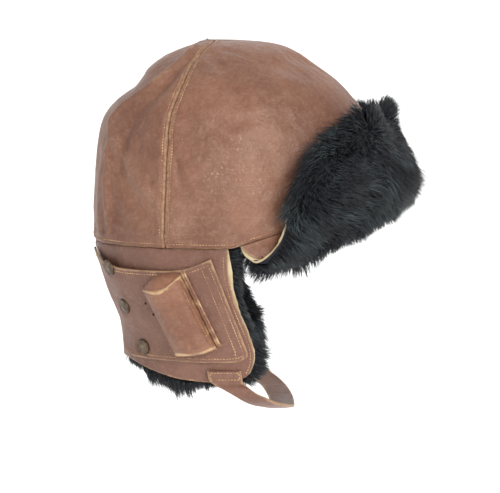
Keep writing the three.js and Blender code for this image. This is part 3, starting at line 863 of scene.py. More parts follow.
@dataclass(frozen=True)
class Thread:
    """Topstitching: short rounded stitches with their ends sunk in the leather."""

    pitch: float = 2.3
    length: float = 1.95
    width: float = 0.85
    height: float = 0.7
    sink: float = 0.12
    bow: float = 0.9

    def template(self) -> Template:
        """One stitch, from a sphere of few faces."""
        rest_selection()
        bpy.ops.mesh.primitive_uv_sphere_add(segments=6, ring_count=4, radius=0.5)
        piece = named("stitch")
        points = corners_of(piece.data)[:, [2, 1, 0]]
        points = points * [self.length, self.width, self.height]
        points[:, 2] -= self.bow * self.height * np.square(2 * points[:, 0] / self.length) / 2
        move_corners(piece.data, points)
        piece.data.flip_normals()
        return Template.taken(piece)

    def sew(self, name: str, rows: Sequence[tuple[Array, Array]]) -> Piece:
        """Sews rows of stitches as one piece.

        Args:
            name: The piece's name.
            rows: Each row's line and the outward directions along it, in millimetres.

        Returns:
            The object.
        """
        template = self.template()
        placed = []
        for path, normals in rows:
            centres, shares = resample(path, self.pitch)
            at = shares * (len(normals) - 1)
            outs = unit(
                np.stack([np.interp(at, np.arange(len(normals)), normals[:, k]) for k in range(3)], axis=1)
            )
            ahead = np.gradient(centres, axis=0) if len(centres) > 1 else path[-1:] - path[:1]
            ahead = unit(ahead - (ahead * outs).sum(axis=1, keepdims=True) * outs)
            across = np.cross(outs, ahead)
            axes = np.stack([ahead, across, outs], axis=1)
            centres = centres + outs * (self.height / 2 - self.sink)
            placed.append(template.points[None] @ axes + centres[:, None, :])
        return template.copies(name, np.concatenate(placed))


# Finishes


class Recipe:
    """Builds a material's nodes."""

    def __init__(self, name: str) -> None:
        """Starts an empty material."""
        self.material = bpy.data.materials.new(name)
        self.material.use_nodes = True
        self.tree = self.material.node_tree
        self.tree.nodes.clear()
        self.shader = self.add("ShaderNodeBsdfPrincipled")
        output = self.add("ShaderNodeOutputMaterial")
        self.tree.links.new(self.shader.outputs[0], output.inputs["Surface"])
        self.place = self.add("ShaderNodeTexCoord").outputs["Object"]

    def add(self, kind: str, **inputs: object) -> bpy.types.Node:
        """Adds a node.

        Args:
            kind: The node's type.
            **inputs: Values or sockets for its inputs, with underscores for spaces.

        Returns:
            The node.
        """
        node = self.tree.nodes.new(kind)
        for name, value in inputs.items():
            self.feed(node.inputs[name.replace("_", " ")], value)
        return node

    def feed(self, socket: Socket, value: object) -> None:
        """Links or sets an input.

        Args:
            socket: The input.
            value: A constant, or the output to link.
        """
        if isinstance(value, Socket):
            self.tree.links.new(value, socket)
        else:
            socket.default_value = value

    def stretched(self, scale: tuple[float, ...], turn: tuple[float, ...]) -> Socket:
        """Object coordinates turned and then stretched."""
        return self.add("ShaderNodeMapping", Vector=self.place, Rotation=turn, Scale=scale).outputs[0]

    def noise(
        self,
        scale: float,
        detail: float = 3,
        rough: float = 0.5,
        twist: float = 0,
        at: Socket | None = None,
    ) -> Socket:
        """Cloudy noise.

        Args:
            scale: Lumps to the metre.
            detail: How many finer layers it has.
            rough: Share of each finer layer.
            twist: How far it is swirled.
            at: Coordinates other than the object's own.

        Returns:
            Values between 0 and 1.
        """
        node = self.add(
            "ShaderNodeTexNoise",
            Vector=at or self.place,
            Scale=scale,
            Detail=detail,
            Roughness=rough,
            Distortion=twist,
        )
        return node.outputs["Fac"]

    def cells(self, scale: float) -> Socket:
        """Distance in a pattern of cells."""
        return self.add("ShaderNodeTexVoronoi", Vector=self.place, Scale=scale).outputs["Distance"]

    def stored(self, name: str) -> Socket:
        """A number stored on the mesh."""
        node = self.add("ShaderNodeAttribute")
        node.attribute_name = name
        return node.outputs["Fac"]

    def ranged(
        self, value: Socket, low: float, high: float, start: float = 0, end: float = 1
    ) -> Socket:
        """Maps a range of values smoothly onto another.

        Args:
            value: The values.
            low: Where the range begins.
            high: Where it ends.
            start: What low becomes.
            end: What high becomes.

        Returns:
            The mapped values.
        """
        node = self.add(
            "ShaderNodeMapRange", Value=value, From_Min=low, From_Max=high, To_Min=start, To_Max=end
        )
        node.interpolation_type = "SMOOTHSTEP"
        return node.outputs["Result"]

    def calc(self, kind: str, a: object, b: object) -> Socket:
        """Reckons with two values: ADD, MULTIPLY, SUBTRACT, MAXIMUM and so on."""
        node = self.add("ShaderNodeMath")
        node.operation = kind
        self.feed(node.inputs[0], a)
        self.feed(node.inputs[1], b)
        return node.outputs[0]

    def mixed(self, share: object, a: object, b: object) -> Socket:
        """Mixes two colours.

        Args:
            share: Share of the second colour.
            a: The first colour or socket.
            b: The second colour or socket.

        Returns:
            The mixed colour.
        """
        node = self.add("ShaderNodeMix")
        node.data_type = "RGBA"
        self.feed(node.inputs[0], share)
        for place, colour in ((6, a), (7, b)):
            value = colour if isinstance(colour, Socket) else (*colour, 1)
            self.feed(node.inputs[place], value)
        return node.outputs[2]

    def bumped(
        self,
        height: Socket,
        strength: float,
        distance: float,
        onto: Socket | None = None,
    ) -> Socket:
        """A bump.

        Args:
            height: The bump's heights.
            strength: Its strength.
            distance: Its depth in metres.
            onto: Another bump below it.

        Returns:
            The bumped normal.
        """
        below = {} if onto is None else {"Normal": onto}
        sizes = {"Strength": strength, "Distance": distance}
        return self.add("ShaderNodeBump", Height=height, **sizes, **below).outputs[0]

    def finish(self, colour: object, rough: object, normal: object = None, **sockets: object) -> Material:
        """Joins colour, roughness and normal to the shader.

        Args:
            colour: Colour or socket.
            rough: Roughness or socket.
            normal: Bump socket.
            **sockets: Constants for other inputs, with underscores for spaces.

        Returns:
            The material.
        """
        self.feed(self.shader.inputs["Base Color"], colour)
        self.feed(self.shader.inputs["Roughness"], rough)
        if normal is not None:
            self.feed(self.shader.inputs["Normal"], normal)
        for name, value in sockets.items():
            self.shader.inputs[name.replace("_", " ")].default_value = value
        return self.material


@dataclass(frozen=True)
class Leather:
    """Worn, oiled garment leather.

    It reads three marks: rim, the distance from a rubbed edge; seam, the distance from a taped
    seam, below zero where there is a sunk line but no tape, and near zero darkened as painted shade;
    and scuff, from 0 to 1, which makes rubbed places pale and, on the crown, paints a highlight.
    """

    name: str
    base: Colour = (0.226, 0.098, 0.057)
    deep: Colour = (0.148, 0.056, 0.032)
    light: Colour = (0.350, 0.202, 0.138)
    worn: Colour = (0.480, 0.300, 0.160)
    # Pale speckle of rubbed places, which also makes the painted highlight's sparkle.
    dust_and_highlight: Colour = (0.52, 0.37, 0.27)
    # Painted shade: the colour for the middle of seam valleys and sunk lines.
    groove_shade: Colour = (0.095, 0.036, 0.022)
    scuffed: float = 0.5
    worn_rim: float = 0.62
    rough: float = 0.46

    def make(self) -> Material:
        """Builds the material."""
        mix = Recipe(self.name)
        patches = mix.noise(16, 4, 0.55, 0.4)
        mottle = mix.noise(85, 8, 0.72, 0.3)
        speckle = mix.noise(520, 3, 0.6)
        grain = mix.noise(330, 7, 0.78, 0.2)
        colour = mix.mixed(mix.ranged(patches, 0.34, 0.66, 0.1, 1), self.deep, self.base)
        colour = mix.mixed(mix.ranged(mottle, 0.35, 0.75, 0, 0.34), colour, self.light)
        colour = mix.mixed(mix.ranged(grain, 0.50, 0.72, 0, 0.55), colour, self.light)
        colour = mix.mixed(mix.ranged(grain, 0.32, 0.50, 0.45, 0), colour, self.deep)
        # Rubbed pale places, speckle and scratches; on the crown the scuff mark also paints a highlight.
        handled = mix.ranged(mix.noise(11, 3, 0.5, 0.6), 0.5, 0.66, 0, 0.6)
        scuff_and_highlight_place = mix.calc("MAXIMUM", handled, mix.stored("scuff_and_highlight"))
        colour = mix.mixed(mix.calc("MULTIPLY", scuff_and_highlight_place, 0.2), colour, self.light)
        scuffs_and_highlights = mix.calc("MULTIPLY", mix.ranged(speckle, 0.56, 0.70, 0, self.scuffed), scuff_and_highlight_place)
        colour = mix.mixed(scuffs_and_highlights, colour, self.dust_and_highlight)
        lines = mix.noise(1, 4, 0.55, 0.3, mix.stretched((26, 26, 420), (0.5, 0.9, 0.2)))
        scratches = mix.calc("MULTIPLY", mix.ranged(lines, 0.615, 0.66, 0, 0.5), scuff_and_highlight_place)
        colour = mix.mixed(scratches, colour, self.light)
        rim = mix.calc("ADD", mix.stored("rim"), mix.ranged(mottle, 0.3, 0.7, -0.6, 1.2))
        colour = mix.mixed(mix.ranged(rim, 0.3, 2.0, self.worn_rim, 0), colour, self.worn)
        seam = mix.stored("seam")
        past_tape = mix.calc("MULTIPLY", mix.ranged(seam, 0.9, 3.4), mix.ranged(seam, -0.1, 0.1))
        on_tape = mix.calc("SUBTRACT", mix.ranged(seam, -0.1, 0.1), past_tape)
        taped = mix.calc("MULTIPLY", on_tape, mix.ranged(grain, 0.40, 0.62, 0.05, 0.62))
        colour = mix.mixed(taped, colour, self.worn)
        # Painted shade: each seam's middle, the sunk line behind the pouch rim and the welt's middle line are
        # darkened.
        groove_shade = mix.ranged(mix.calc("ABSOLUTE", seam, 0.0), 0.1, 0.75, 0.6, 0)
        colour = mix.mixed(groove_shade, colour, self.groove_shade)
        pebbles = mix.cells(620)
        fine = mix.noise(900, 2, 0.6)
        creases = mix.noise(48, 6, 0.66, 1.1)
        normal = mix.bumped(creases, 0.62, 0.0028)
        normal = mix.bumped(mix.calc("ADD", pebbles, fine), 0.28, 0.0006, normal)
        rough = mix.calc("ADD", mix.ranged(mottle, 0.3, 0.7, self.rough - 0.07, self.rough + 0.12), scuffs_and_highlights)
        return mix.finish(
            colour, rough, normal, Specular_IOR_Level=0.42, Sheen_Weight=0.03, Sheen_Roughness=0.5
        )


@dataclass(frozen=True)
class FleshSide:
    """The napped inner side of leather, or its cut edge; in near-black it is the painted shade in the panel
    holes.
    """

    name: str
    base: Colour = (0.23, 0.125, 0.075)
    light: Colour = (0.36, 0.23, 0.14)

    def make(self) -> Material:
        """Builds the material."""
        mix = Recipe(self.name)
        nap = mix.noise(700, 4, 0.7)
        colour = mix.mixed(mix.ranged(mix.noise(60, 5, 0.6), 0.35, 0.7), self.base, self.light)
        colour = mix.mixed(mix.ranged(nap, 0.4, 0.8, 0, 0.4), colour, self.light)
        return mix.finish(colour, 0.9, mix.bumped(nap, 0.5, 0.0006), Sheen_Weight=0.15)


@dataclass(frozen=True)
class RawHide:
    """The bare skin side of a sheepskin, beige with dark blotches."""

    name: str
    base: Colour = (0.50, 0.375, 0.205)
    pale: Colour = (0.62, 0.52, 0.35)
    dirt: Colour = (0.27, 0.165, 0.085)
    blotch: Colour = (0.045, 0.045, 0.045)

    def make(self) -> Material:
        """Builds the material."""
        mix = Recipe(self.name)
        colour = mix.mixed(mix.ranged(mix.noise(55, 5, 0.6, 0.3), 0.35, 0.7), self.base, self.pale)
        dirt = mix.ranged(mix.noise(160, 5, 0.65, 0.4), 0.50, 0.72, 0, 0.55)
        colour = mix.mixed(dirt, colour, self.dirt)
        colour = mix.mixed(mix.ranged(mix.noise(34, 3, 0.55), 0.645, 0.70, 0, 0.9), colour, self.blotch)
        grain = mix.noise(650, 4, 0.65)
        return mix.finish(colour, 0.88, mix.bumped(grain, 0.55, 0.0007), Sheen_Weight=0.1)


@dataclass(frozen=True)
class Fur:
    """Dense black fur with a cool sheen."""

    name: str
    base: Colour = (0.0040, 0.0050, 0.0105)
    sheen: Colour = (0.066, 0.090, 0.096)
    rough: float = 0.42

    def make(self) -> Material:
        """Builds the material."""
        mix = Recipe(self.name)
        patches = mix.ranged(mix.noise(25, 4, 0.6, 0.6), 0.46, 0.62)
        streaks = mix.ranged(mix.stored("shade"), 0.15, 1.0)
        share = mix.calc("MULTIPLY", streaks, mix.calc("ADD", mix.calc("MULTIPLY", patches, 0.9), 0.1))
        colour = mix.mixed(share, self.base, self.sheen)
        return mix.finish(colour, self.rough, None, Specular_IOR_Level=0.45, Sheen_Weight=0.04)


@dataclass(frozen=True)
class Cotton:
    """Waxed tan sewing thread."""

    name: str
    base: Colour = (0.66, 0.43, 0.22)
    dull: Colour = (0.33, 0.175, 0.098)

    def make(self) -> Material:
        """Builds the material."""
        mix = Recipe(self.name)
        twist = mix.noise(1500, 2, 0.5)
        colour = mix.mixed(mix.ranged(mix.noise(55, 5, 0.7), 0.44, 0.62), self.dull, self.base)
        return mix.finish(colour, 0.65, mix.bumped(twist, 0.5, 0.0002))


@dataclass(frozen=True)
class AntiqueBrass:
    """Darkened brass with rubbed high places."""

    name: str
    base: Colour = (0.088, 0.062, 0.044)
    rubbed: Colour = (0.235, 0.165, 0.11)

    def make(self) -> Material:
        """Builds the material."""
        mix = Recipe(self.name)
        wear = mix.noise(260, 5, 0.65, 0.3)
        colour = mix.mixed(mix.ranged(wear, 0.42, 0.72), self.base, self.rubbed)
        rough = mix.ranged(wear, 0.3, 0.7, 0.5, 0.34)
        return mix.finish(colour, rough, mix.bumped(wear, 0.25, 0.0003), Metallic=0.7)


def made(recipe: Leather | FleshSide | RawHide | Fur | Cotton | AntiqueBrass) -> Material:
    """A field that holds a recipe's material, made with the other finishes."""
    return field(default_factory=recipe.make)


@dataclass
class Finishes:
    """Every finish of the helmet, made once."""

    crown: Material = made(Leather("crown_leather_finish"))
    curtain: Material = made(
        Leather(
            "curtain_leather_finish",
            base=(0.194, 0.091, 0.062),
            deep=(0.138, 0.059, 0.039),
            light=(0.272, 0.154, 0.110),
            scuffed=0.25,
        )
    )
    pouch: Material = made(
        Leather(
            "pouch_leather_finish",
            base=(0.244, 0.104, 0.058),
            deep=(0.170, 0.067, 0.038),
            light=(0.375, 0.205, 0.130),
            worn=(0.62, 0.41, 0.22),
            scuffed=0.3,
            worn_rim=0.85,
        )
    )
    inside: Material = made(FleshSide("flesh_side_finish"))
    edge: Material = made(FleshSide("cut_edge_finish", (0.245, 0.120, 0.068), (0.40, 0.245, 0.135)))
    # Near-black: painted shade in the bottom of each panel hole.
    shade: Material = made(FleshSide("hole_shade_finish", (0.012, 0.006, 0.004), (0.03, 0.016, 0.01)))
    hide: Material = made(RawHide("raw_hide_finish"))
    fur: Material = made(Fur("fur_finish"))
    fur_base: Material = made(Fur("fur_base_finish", sheen=(0.012, 0.014, 0.018), rough=0.8))
    thread: Material = made(Cotton("thread_finish"))
    brass: Material = made(AntiqueBrass("antique_brass_finish"))


def dress(piece: Piece, materials: Sequence[Material], slot: str, *nodes: str) -> None:
    """Gives a piece its materials and ties it to the frame.

    Args:
        piece: The finished piece.
        materials: Its materials in order.
        slot: Not used.
        *nodes: The nodes that it stands for.
    """
    piece.data.materials.clear()
    for material in materials:
        piece.data.materials.append(material)
    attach(piece, "root")
    if nodes:
        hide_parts(*nodes)
    triangles = sum(len(face.vertices) - 2 for face in piece.data.polygons)
    LOG.info("%s: %d triangles", piece.name, triangles)


# Crown


@dataclass(frozen=True)
class Crease:
    """A soft ridge or valley across the crown, by distance ahead and height on the side."""

    line: tuple[tuple[float, float], ...]
    depth: float
    width: float
    rubbed: bool = False
    # Reach of the pale mark along the crease, rubbed places and painted highlight alike.
    scuffed_reach: float = 0


@dataclass
class Crown:
    """Three gores, their open seams and topstitching."""

    form: CrownForm
    finishes: Finishes
    columns: int = 132
    rows: int = 100
    stitch_offset: float = 3.6
    edge_offset: float = 3.2
    pleats: float = 26
    left_slide: float = 3.5
    highest: float = 0.5
    # Pale spots by distance ahead, height and reach: rubbed places and a painted highlight.
    scuffs_and_highlights: tuple[tuple[float, float, float], ...] = ((-13, 52, 24), (-40, 22, 17), (8, 60, 18), (34, 40, 15))
    creases: tuple[Crease, ...] = (
        Crease(
            ((-30, 152), (-65, 123), (-86, 107), (-96, 95), (-98.5, 73), (-99, 46), (-97, 10)),
            2.7,
            3.4,
            rubbed=True,
        ),
        Crease(((-34, 145), (-62, 116), (-78, 98), (-87, 80), (-90, 60)), -2.8, 6.5),
        Crease(((-94, 82), (-84, 62), (-72, 49), (-59, 34)), 2.1, 3.6, scuffed_reach=5.0),
        Crease(((-88, 52), (-78, 36), (-66, 20)), -1.5, 4.5),
        Crease(((-49, 80), (-44, 66), (-40, 50)), -1.8, 3.6),
        Crease(((-40, 112), (-22, 98), (2, 94), (20, 99)), -1.0, 5.5),
        Crease(((-34, 42), (-10, 36), (22, 44), (50, 62)), 0.9, 4.5),
        Crease(((-22, 96), (2, 84), (26, 66)), 0.7, 2.6, scuffed_reach=2.4),
        Crease(((-6, 60), (14, 70), (40, 76)), 0.6, 2.4, scuffed_reach=2.2),
        Crease(((-96, 17), (-72, 11), (-44, 9)), 1.3, 3.2),
        Crease(((-36, 11), (-6, 14), (20, 21)), 1.2, 3.0),
        Crease(((-20, 148), (-4, 132), (8, 110)), -0.9, 5.0),
    )

    def __post_init__(self) -> None:
        """Measures the seams, the lower edge and the creases once."""
        share = np.linspace(0, 1, 500)
        line = self.form.surface(np.full(500, self.form.seam_angle), share)
        run = np.concatenate([[0], np.cumsum(np.linalg.norm(np.diff(line, axis=0), axis=1))])
        self.climb, self.climb_share = run / run[-1], share
        self.seams = [
            self.form.surface(np.full(90, turn), self.share_at(np.linspace(0, 1, 90)))
            for turn in (0, self.form.seam_angle, -self.form.seam_angle)
        ]
        self.lower_edge = self.form.surface(np.linspace(-180, 180, 220), np.zeros(220))
        self.crease_lines = [
            (crease, self._crease_path(crease, side)) for crease in self.creases for side in Side
        ]

    def share_at(self, v: Array) -> Array:
        """The share of height at an even share of the way up the surface."""
        return np.interp(v, self.climb, self.climb_share)

    def _crease_path(self, crease: Crease, side: Side) -> Array:
        """A crease's line on one side."""
        run = np.linspace(0, len(crease.line) - 1, 24)
        line = np.array(crease.line, dtype=float)
        slide = 0 if side is Side.RIGHT else self.left_slide
        xs = np.interp(run, np.arange(len(line)), line[:, 0]) + slide
        zs = np.interp(run, np.arange(len(line)), line[:, 1]) - slide / 2
        return np.array([self.form.side_point(side, x, z) for x, z in zip(xs, zs)])

    def seam_distance(self, base: Array) -> Array:
        """Distance to the nearest upright seam."""
        return np.min([path_distance(base, seam) for seam in self.seams], axis=0)

    def relief(self, degrees: Array, base: Array) -> Array:
        """How far the worked leather stands off the plain form.

        Args:
            degrees: Turn of each point.
            base: The points.

        Returns:
            Distances outwards.
        """
        seam, edge = self.seam_distance(base), path_distance(base, self.lower_edge)
        out = -1.3 * bell(seam, 0.8) + 0.55 * bell(seam - 1.9, 0.9)
        out = out - 0.45 * bell(seam - self.stitch_offset, 0.7)
        out = out + 0.5 * bell(seam - 5.6, 1.8) - 1.2 * bell(edge, 1.6)
        out = out - 0.35 * bell(edge - self.edge_offset, 0.8) + 0.6 * bell(edge - 6.5, 2.6)
        pleat = np.sin(np.radians(degrees) * self.pleats + 1.3 * lumps(base, 40, 7))
        gathered = smooth(58, 74, np.abs(degrees)) * (0.45 + 0.55 * bell(np.abs(degrees) - 98, 24))
        out = out + 0.95 * pleat * gathered * bell(edge - 8, 7.5)
        out = out + 0.75 * lumps(base * np.array([0.5, 0.5, 1.7]), 7, 13) * bell(edge - 8.5, 5)
        free = smooth(2, 14, np.minimum(seam, edge))
        out = out + free * (1.1 * lumps(base, 60, 3) + 0.55 * lumps(base, 26, 4) + 0.22 * lumps(base, 11, 5))
        out = out + 0.35 * bell(seam - 7, 4.5) * lumps(base, 13, 9)
        out = self.highest - np.log1p(np.exp((self.highest - out) * 1.6)) / 1.6
        out = out - free * (0.5 + 1.3 * smooth(140, 165, np.abs(degrees)))
        for crease, line in self.crease_lines:
            distance = path_distance(base, line)
            near = distance < 4 * crease.width
            if near.any():
                out = out + crease.depth * bell(distance, crease.width)
        return out

    def rubbed(self, base: Array) -> Array:
        """Distance to the nearest worn place."""
        distance = path_distance(base, self.lower_edge) + 0.9
        for crease, line in self.crease_lines:
            if crease.rubbed:
                distance = np.minimum(distance, path_distance(base, line) * 0.26 + 1.1)
        return distance

    def scuffed(self, base: Array) -> Array:
        """How far each place is made pale, from 0 to 1: rubbed places and a painted highlight."""
        total = np.zeros(len(base))
        for x, z, reach in self.scuffs_and_highlights:
            total = total + bell(np.hypot(base[:, 0] - x, base[:, 2] - z), reach)
        for crease, line in self.crease_lines:
            if crease.scuffed_reach > 0:
                total = total + bell(path_distance(base, line), crease.scuffed_reach)
        return np.clip(total * (0.75 + 0.4 * lumps(base, 30, 12)), 0, 1)

    def on_skin(self, degrees: Array, share: Array) -> tuple[Array, Array]:
        """Places and outward directions on the worked leather."""
        base = self.form.surface(degrees, share)
        out = self.relief(degrees, base)
        place = self.form.point(degrees, share, out)
        return place, unit(self.form.point(degrees, share, out + 1) - place)

    def _gore(self, word: str, start: float, end: float) -> Piece:
        """One gore between two seams.

        Args:
            word: Which gore.
            start: Turn of its first seam.
            end: Turn of its last seam.

        Returns:
            The gore.
        """

        def place(u: Array, v: Array, out: Array) -> Array:
            """Points of the sheet."""
            return self.form.point(start + (end - start) * u, self.share_at(v), out)

        def relief(u: Array, v: Array, base: Array) -> Array:
            """The crown's relief on this gore."""
            degrees = start + (end - start) * u
            turn = np.where(degrees > 180, degrees - 360, degrees)
            return self.relief(turn, base)

        return Cut(
            f"crown_gore_{word}", self.columns, self.rows, place, self.form.leather,
            crowd_columns=0.5,
            crowd_rows=0.3,
            relief=relief,
            marks={
                "rim": lambda u, v, base: self.rubbed(base),
                # Distance to the seams; near zero the finish paints shade down each seam's middle.
                "seam": lambda u, v, base: self.seam_distance(base),
                # Rubbed pale places, and a painted highlight on the crown's side.
                "scuff_and_highlight": lambda u, v, base: self.scuffed(base),
            },
        ).lay()

    def _stitch_lines(self) -> list[tuple[Array, Array]]:
        """Rows beside each upright seam and above the lower edge."""
        rows = []
        share = self.share_at(np.linspace(0.012, 0.965, 150))
        for seam in (0.0, self.form.seam_angle, -self.form.seam_angle):
            here = self.form.surface(np.full(150, seam), share)
            beside = self.form.surface(np.full(150, seam + 1), share)
            per_degree = np.linalg.norm(beside - here, axis=1)
            for way in (-1, 1):
                turn = seam + way * np.minimum(self.stitch_offset / per_degree, 40)
                rows.append(self.on_skin(turn, share))
        degrees = np.concatenate([np.linspace(62, 180, 170), np.linspace(-180, -62, 170)[1:]])
        edge = self.form.edge(np.radians(degrees))
        rows.append(self.on_skin(degrees, self.edge_offset / (self.form.height - edge)))
        return rows

    def build(self) -> None:
        """Makes the gores and their thread."""
        turn = self.form.seam_angle
        skins = (self.finishes.crown, self.finishes.inside, self.finishes.edge)
        for word, start, end in (
            ("front_right", 0, turn),
            ("back", turn, 360 - turn),
            ("front_left", 360 - turn, 360),
        ):
            dress(self._gore(word, start, end), skins, "crown_leather", f"crown_{word}")
        thread = Thread().sew("crown_topstitching", self._stitch_lines())
        dress(thread, [self.finishes.thread], "crown_leather")


# Curtain


@dataclass
class Curtain:
    """Neck curtain with both ear flaps: leather, sheepskin and pile."""

    form: CurtainForm
    finishes: Finishes
    columns: int = 150
    rows: int = 46

    def relief(self, u: Array, v: Array, base: Array) -> Array:
        """Tucks, dents and soft unevenness of the leather.

        Args:
            u: -1 to 1 from edge to edge.
            v: 0 at the crown seam and 1 at the hem.
            base: The points.

        Returns:
            Distances outwards.
        """
        top = np.abs(v) * 100
        out = -1.3 * bell(top, 1.8) + 0.2 * bell(top - 5, 2.0)
        out = out + 0.28 * lumps(base, 34, 21) + 0.12 * lumps(base, 15, 22) - 0.25
        side = smooth(0.86, 0.96, np.abs(u))
        return out + side * 0.35 * lumps(base, 20, 23) - 0.25 * bell((1 - np.abs(u)) * 160 - 3, 0.9)

    def skin(self, u: Array, v: Array) -> tuple[Array, Array]:
        """Places and outward directions on the leather."""
        base = self.form.point(u, v, np.zeros(len(u)))
        out = self.relief(u, v, base)
        place = self.form.point(u, v, out)
        return place, unit(self.form.point(u, v, out + 1) - place)

    def _leather(self) -> Piece:
        """The leather sheet."""

        def place(u: Array, v: Array, out: Array) -> Array:
            """Points of the sheet."""
            return self.form.point(2 * u - 1, v, out)

        half = self.form.half_round
        return Cut(
            "neck_curtain_leather", self.columns, self.rows, place, self.form.leather,
            relief=lambda u, v, base: self.relief(2 * u - 1, v, base),
            marks={
                "rim": lambda u, v, base: np.minimum((1 - np.abs(2 * u - 1)) * half, (1 - v) * 95) + 0.25,
                "seam": no_seam,
            },
        ).lay()

    def _sheepskin(self) -> Piece:
        """The skin side of the lining, which shows as a pale edge."""
        form = self.form

        def place(u: Array, v: Array, out: Array) -> Array:
            """Points of the sheet."""
            wobble = 0.7 * np.sin(31 * v + 2) + 0.5 * np.sin(83 * v) + 0.4 * np.sin(57 * u)
            shown = np.interp(v, (0, 0.2, 0.34, 0.5, 1), (1.0, 0.9, 0.5, 0.28, 0.22))
            show_u = (form.pelt_show * shown + 0.35 * wobble) / form.half_round
            show_v = (-0.6 + 0.3 * wobble) / form.drop
            across = 2 * u - 1
            return form.point(across * (1 + show_u), v * (1 + show_v), -form.leather - form.layer_gap + out)

        return Cut("neck_curtain_sheepskin", 120, 30, place, form.pelt, roll=0.5).lay()

    def _pile_base(self) -> Piece:
        """The matted depth of the pile."""
        form = self.form

        def place(u: Array, v: Array, out: Array) -> Array:
            """Points of the sheet."""
            across = (2 * u - 1) * (1 + (form.pelt_show - 1.0) / form.half_round)
            down = 0.02 + v * (0.98 - 1.0 / form.drop)
            return form.point(across, down, form.fur_face + out)

        return Cut("neck_curtain_pile_base", 90, 30, place, form.pile * 0.45, roll=0.6).lay()

    def build(self) -> None:
        """Makes the leather, the sheepskin and the base of its pile."""
        skins = (self.finishes.curtain, self.finishes.inside, self.finishes.edge)
        dress(self._leather(), skins, "curtain_leather", "curtain")
        dress(self._sheepskin(), [self.finishes.hide] * 3, "pelt", "curtain_pelt")
        dress(self._pile_base(), [self.finishes.fur_base] * 3, "fur", "curtain_fur")
        down = np.linspace(0.05, 0.93, 60)
        rows = []
        for way in (-1, 1):
            rows.append(self.skin(np.full(60, way * (1 - 3.0 / self.form.half_round)), down))
        thread = Thread().sew("neck_curtain_topstitching", rows)
        dress(thread, [self.finishes.thread], "curtain_leather")


# Brow flap


@dataclass
class BrowFlap:
    """The turned-up brow flap: leather, sheepskin and the base of its fur."""

    form: FlapForm
    finishes: Finishes

    def _leather(self) -> Piece:
        """The leather, its grain side against the crown."""
        form = self.form

        def place(u: Array, v: Array, out: Array) -> Array:
            """Points of the sheet."""
            return form.point(2 * u - 1, v, -form.crown.leather - out)

        return Cut(
            "brow_flap_leather", 96, 46, place, form.crown.leather,
            relief=lambda u, v, base: 0.15 * lumps(base, 22, 31),
            marks={
                "rim": lambda u, v, base: (1 - np.abs(2 * u - 1)) * form.half_round + 0.4,
                "seam": no_seam,
            },
        ).lay()

    def _sheepskin(self) -> Piece:
        """The skin side, which shows as a pale edge."""
        form = self.form

        def place(u: Array, v: Array, out: Array) -> Array:
            """Points of the sheet."""
            wobble = 0.8 * np.sin(23 * v + 1) + 0.5 * np.sin(61 * v) + 0.5 * np.sin(49 * u)
            across = (2 * u - 1) * (1 + (form.pelt_show + 0.4 * wobble) / form.half_round)
            up = v * (1 + (form.pelt_show + 0.3 * wobble) / form.height)
            return form.point(across, up, form.layer_gap - out)

        return Cut("brow_flap_sheepskin", 110, 60, place, form.pelt, roll=0.5).lay()

    def _fur_base(self) -> Piece:
        """The matted depth of the fur."""
        form = self.form

        def place(u: Array, v: Array, out: Array) -> Array:
            """Points of the sheet."""
            across = (2 * u - 1) * (1 + (form.pelt_show - 1) / form.half_round)
            up = v * (1 + (form.pelt_show - 1) / form.height)
            depth = form.fur_face + 0.5 * form.fur_depth(across, up)
            round_off = smooth(0, 0.12, 1 - np.abs(2 * u - 1)) * smooth(0, 0.08, v) * smooth(0, 0.1, 1 - v)
            raised = (depth - form.fur_face) * (0.25 + 0.75 * round_off)
            return form.point(across, up, form.fur_face + raised + out)

        return Cut(
            "brow_fur_base", 90, 56, place, 2.2,
            roll=0.6,
            relief=lambda u, v, base: 1.1 * lumps(base, 24, 33),
        ).lay()

    def build(self) -> None:
        """Makes the flap's layers."""
        skins = (self.finishes.crown, self.finishes.inside, self.finishes.edge)
        dress(self._leather(), skins, "crown_leather", "brow_flap")
        dress(self._sheepskin(), [self.finishes.hide] * 3, "pelt", "brow_pelt")
        dress(self._fur_base(), [self.finishes.fur_base] * 3, "fur", "brow_fur")


# Fur


@dataclass
class FurField:
    """Where a batch of hairs grows and how it lies."""

    name: str
    roots: Array
    outward: Array
    lay: Array
    length: Array
    width: float
    clump: float = 0.6
    lock_share: float = 0.03
    droop: float = 0.12
    slot: str = "fur"


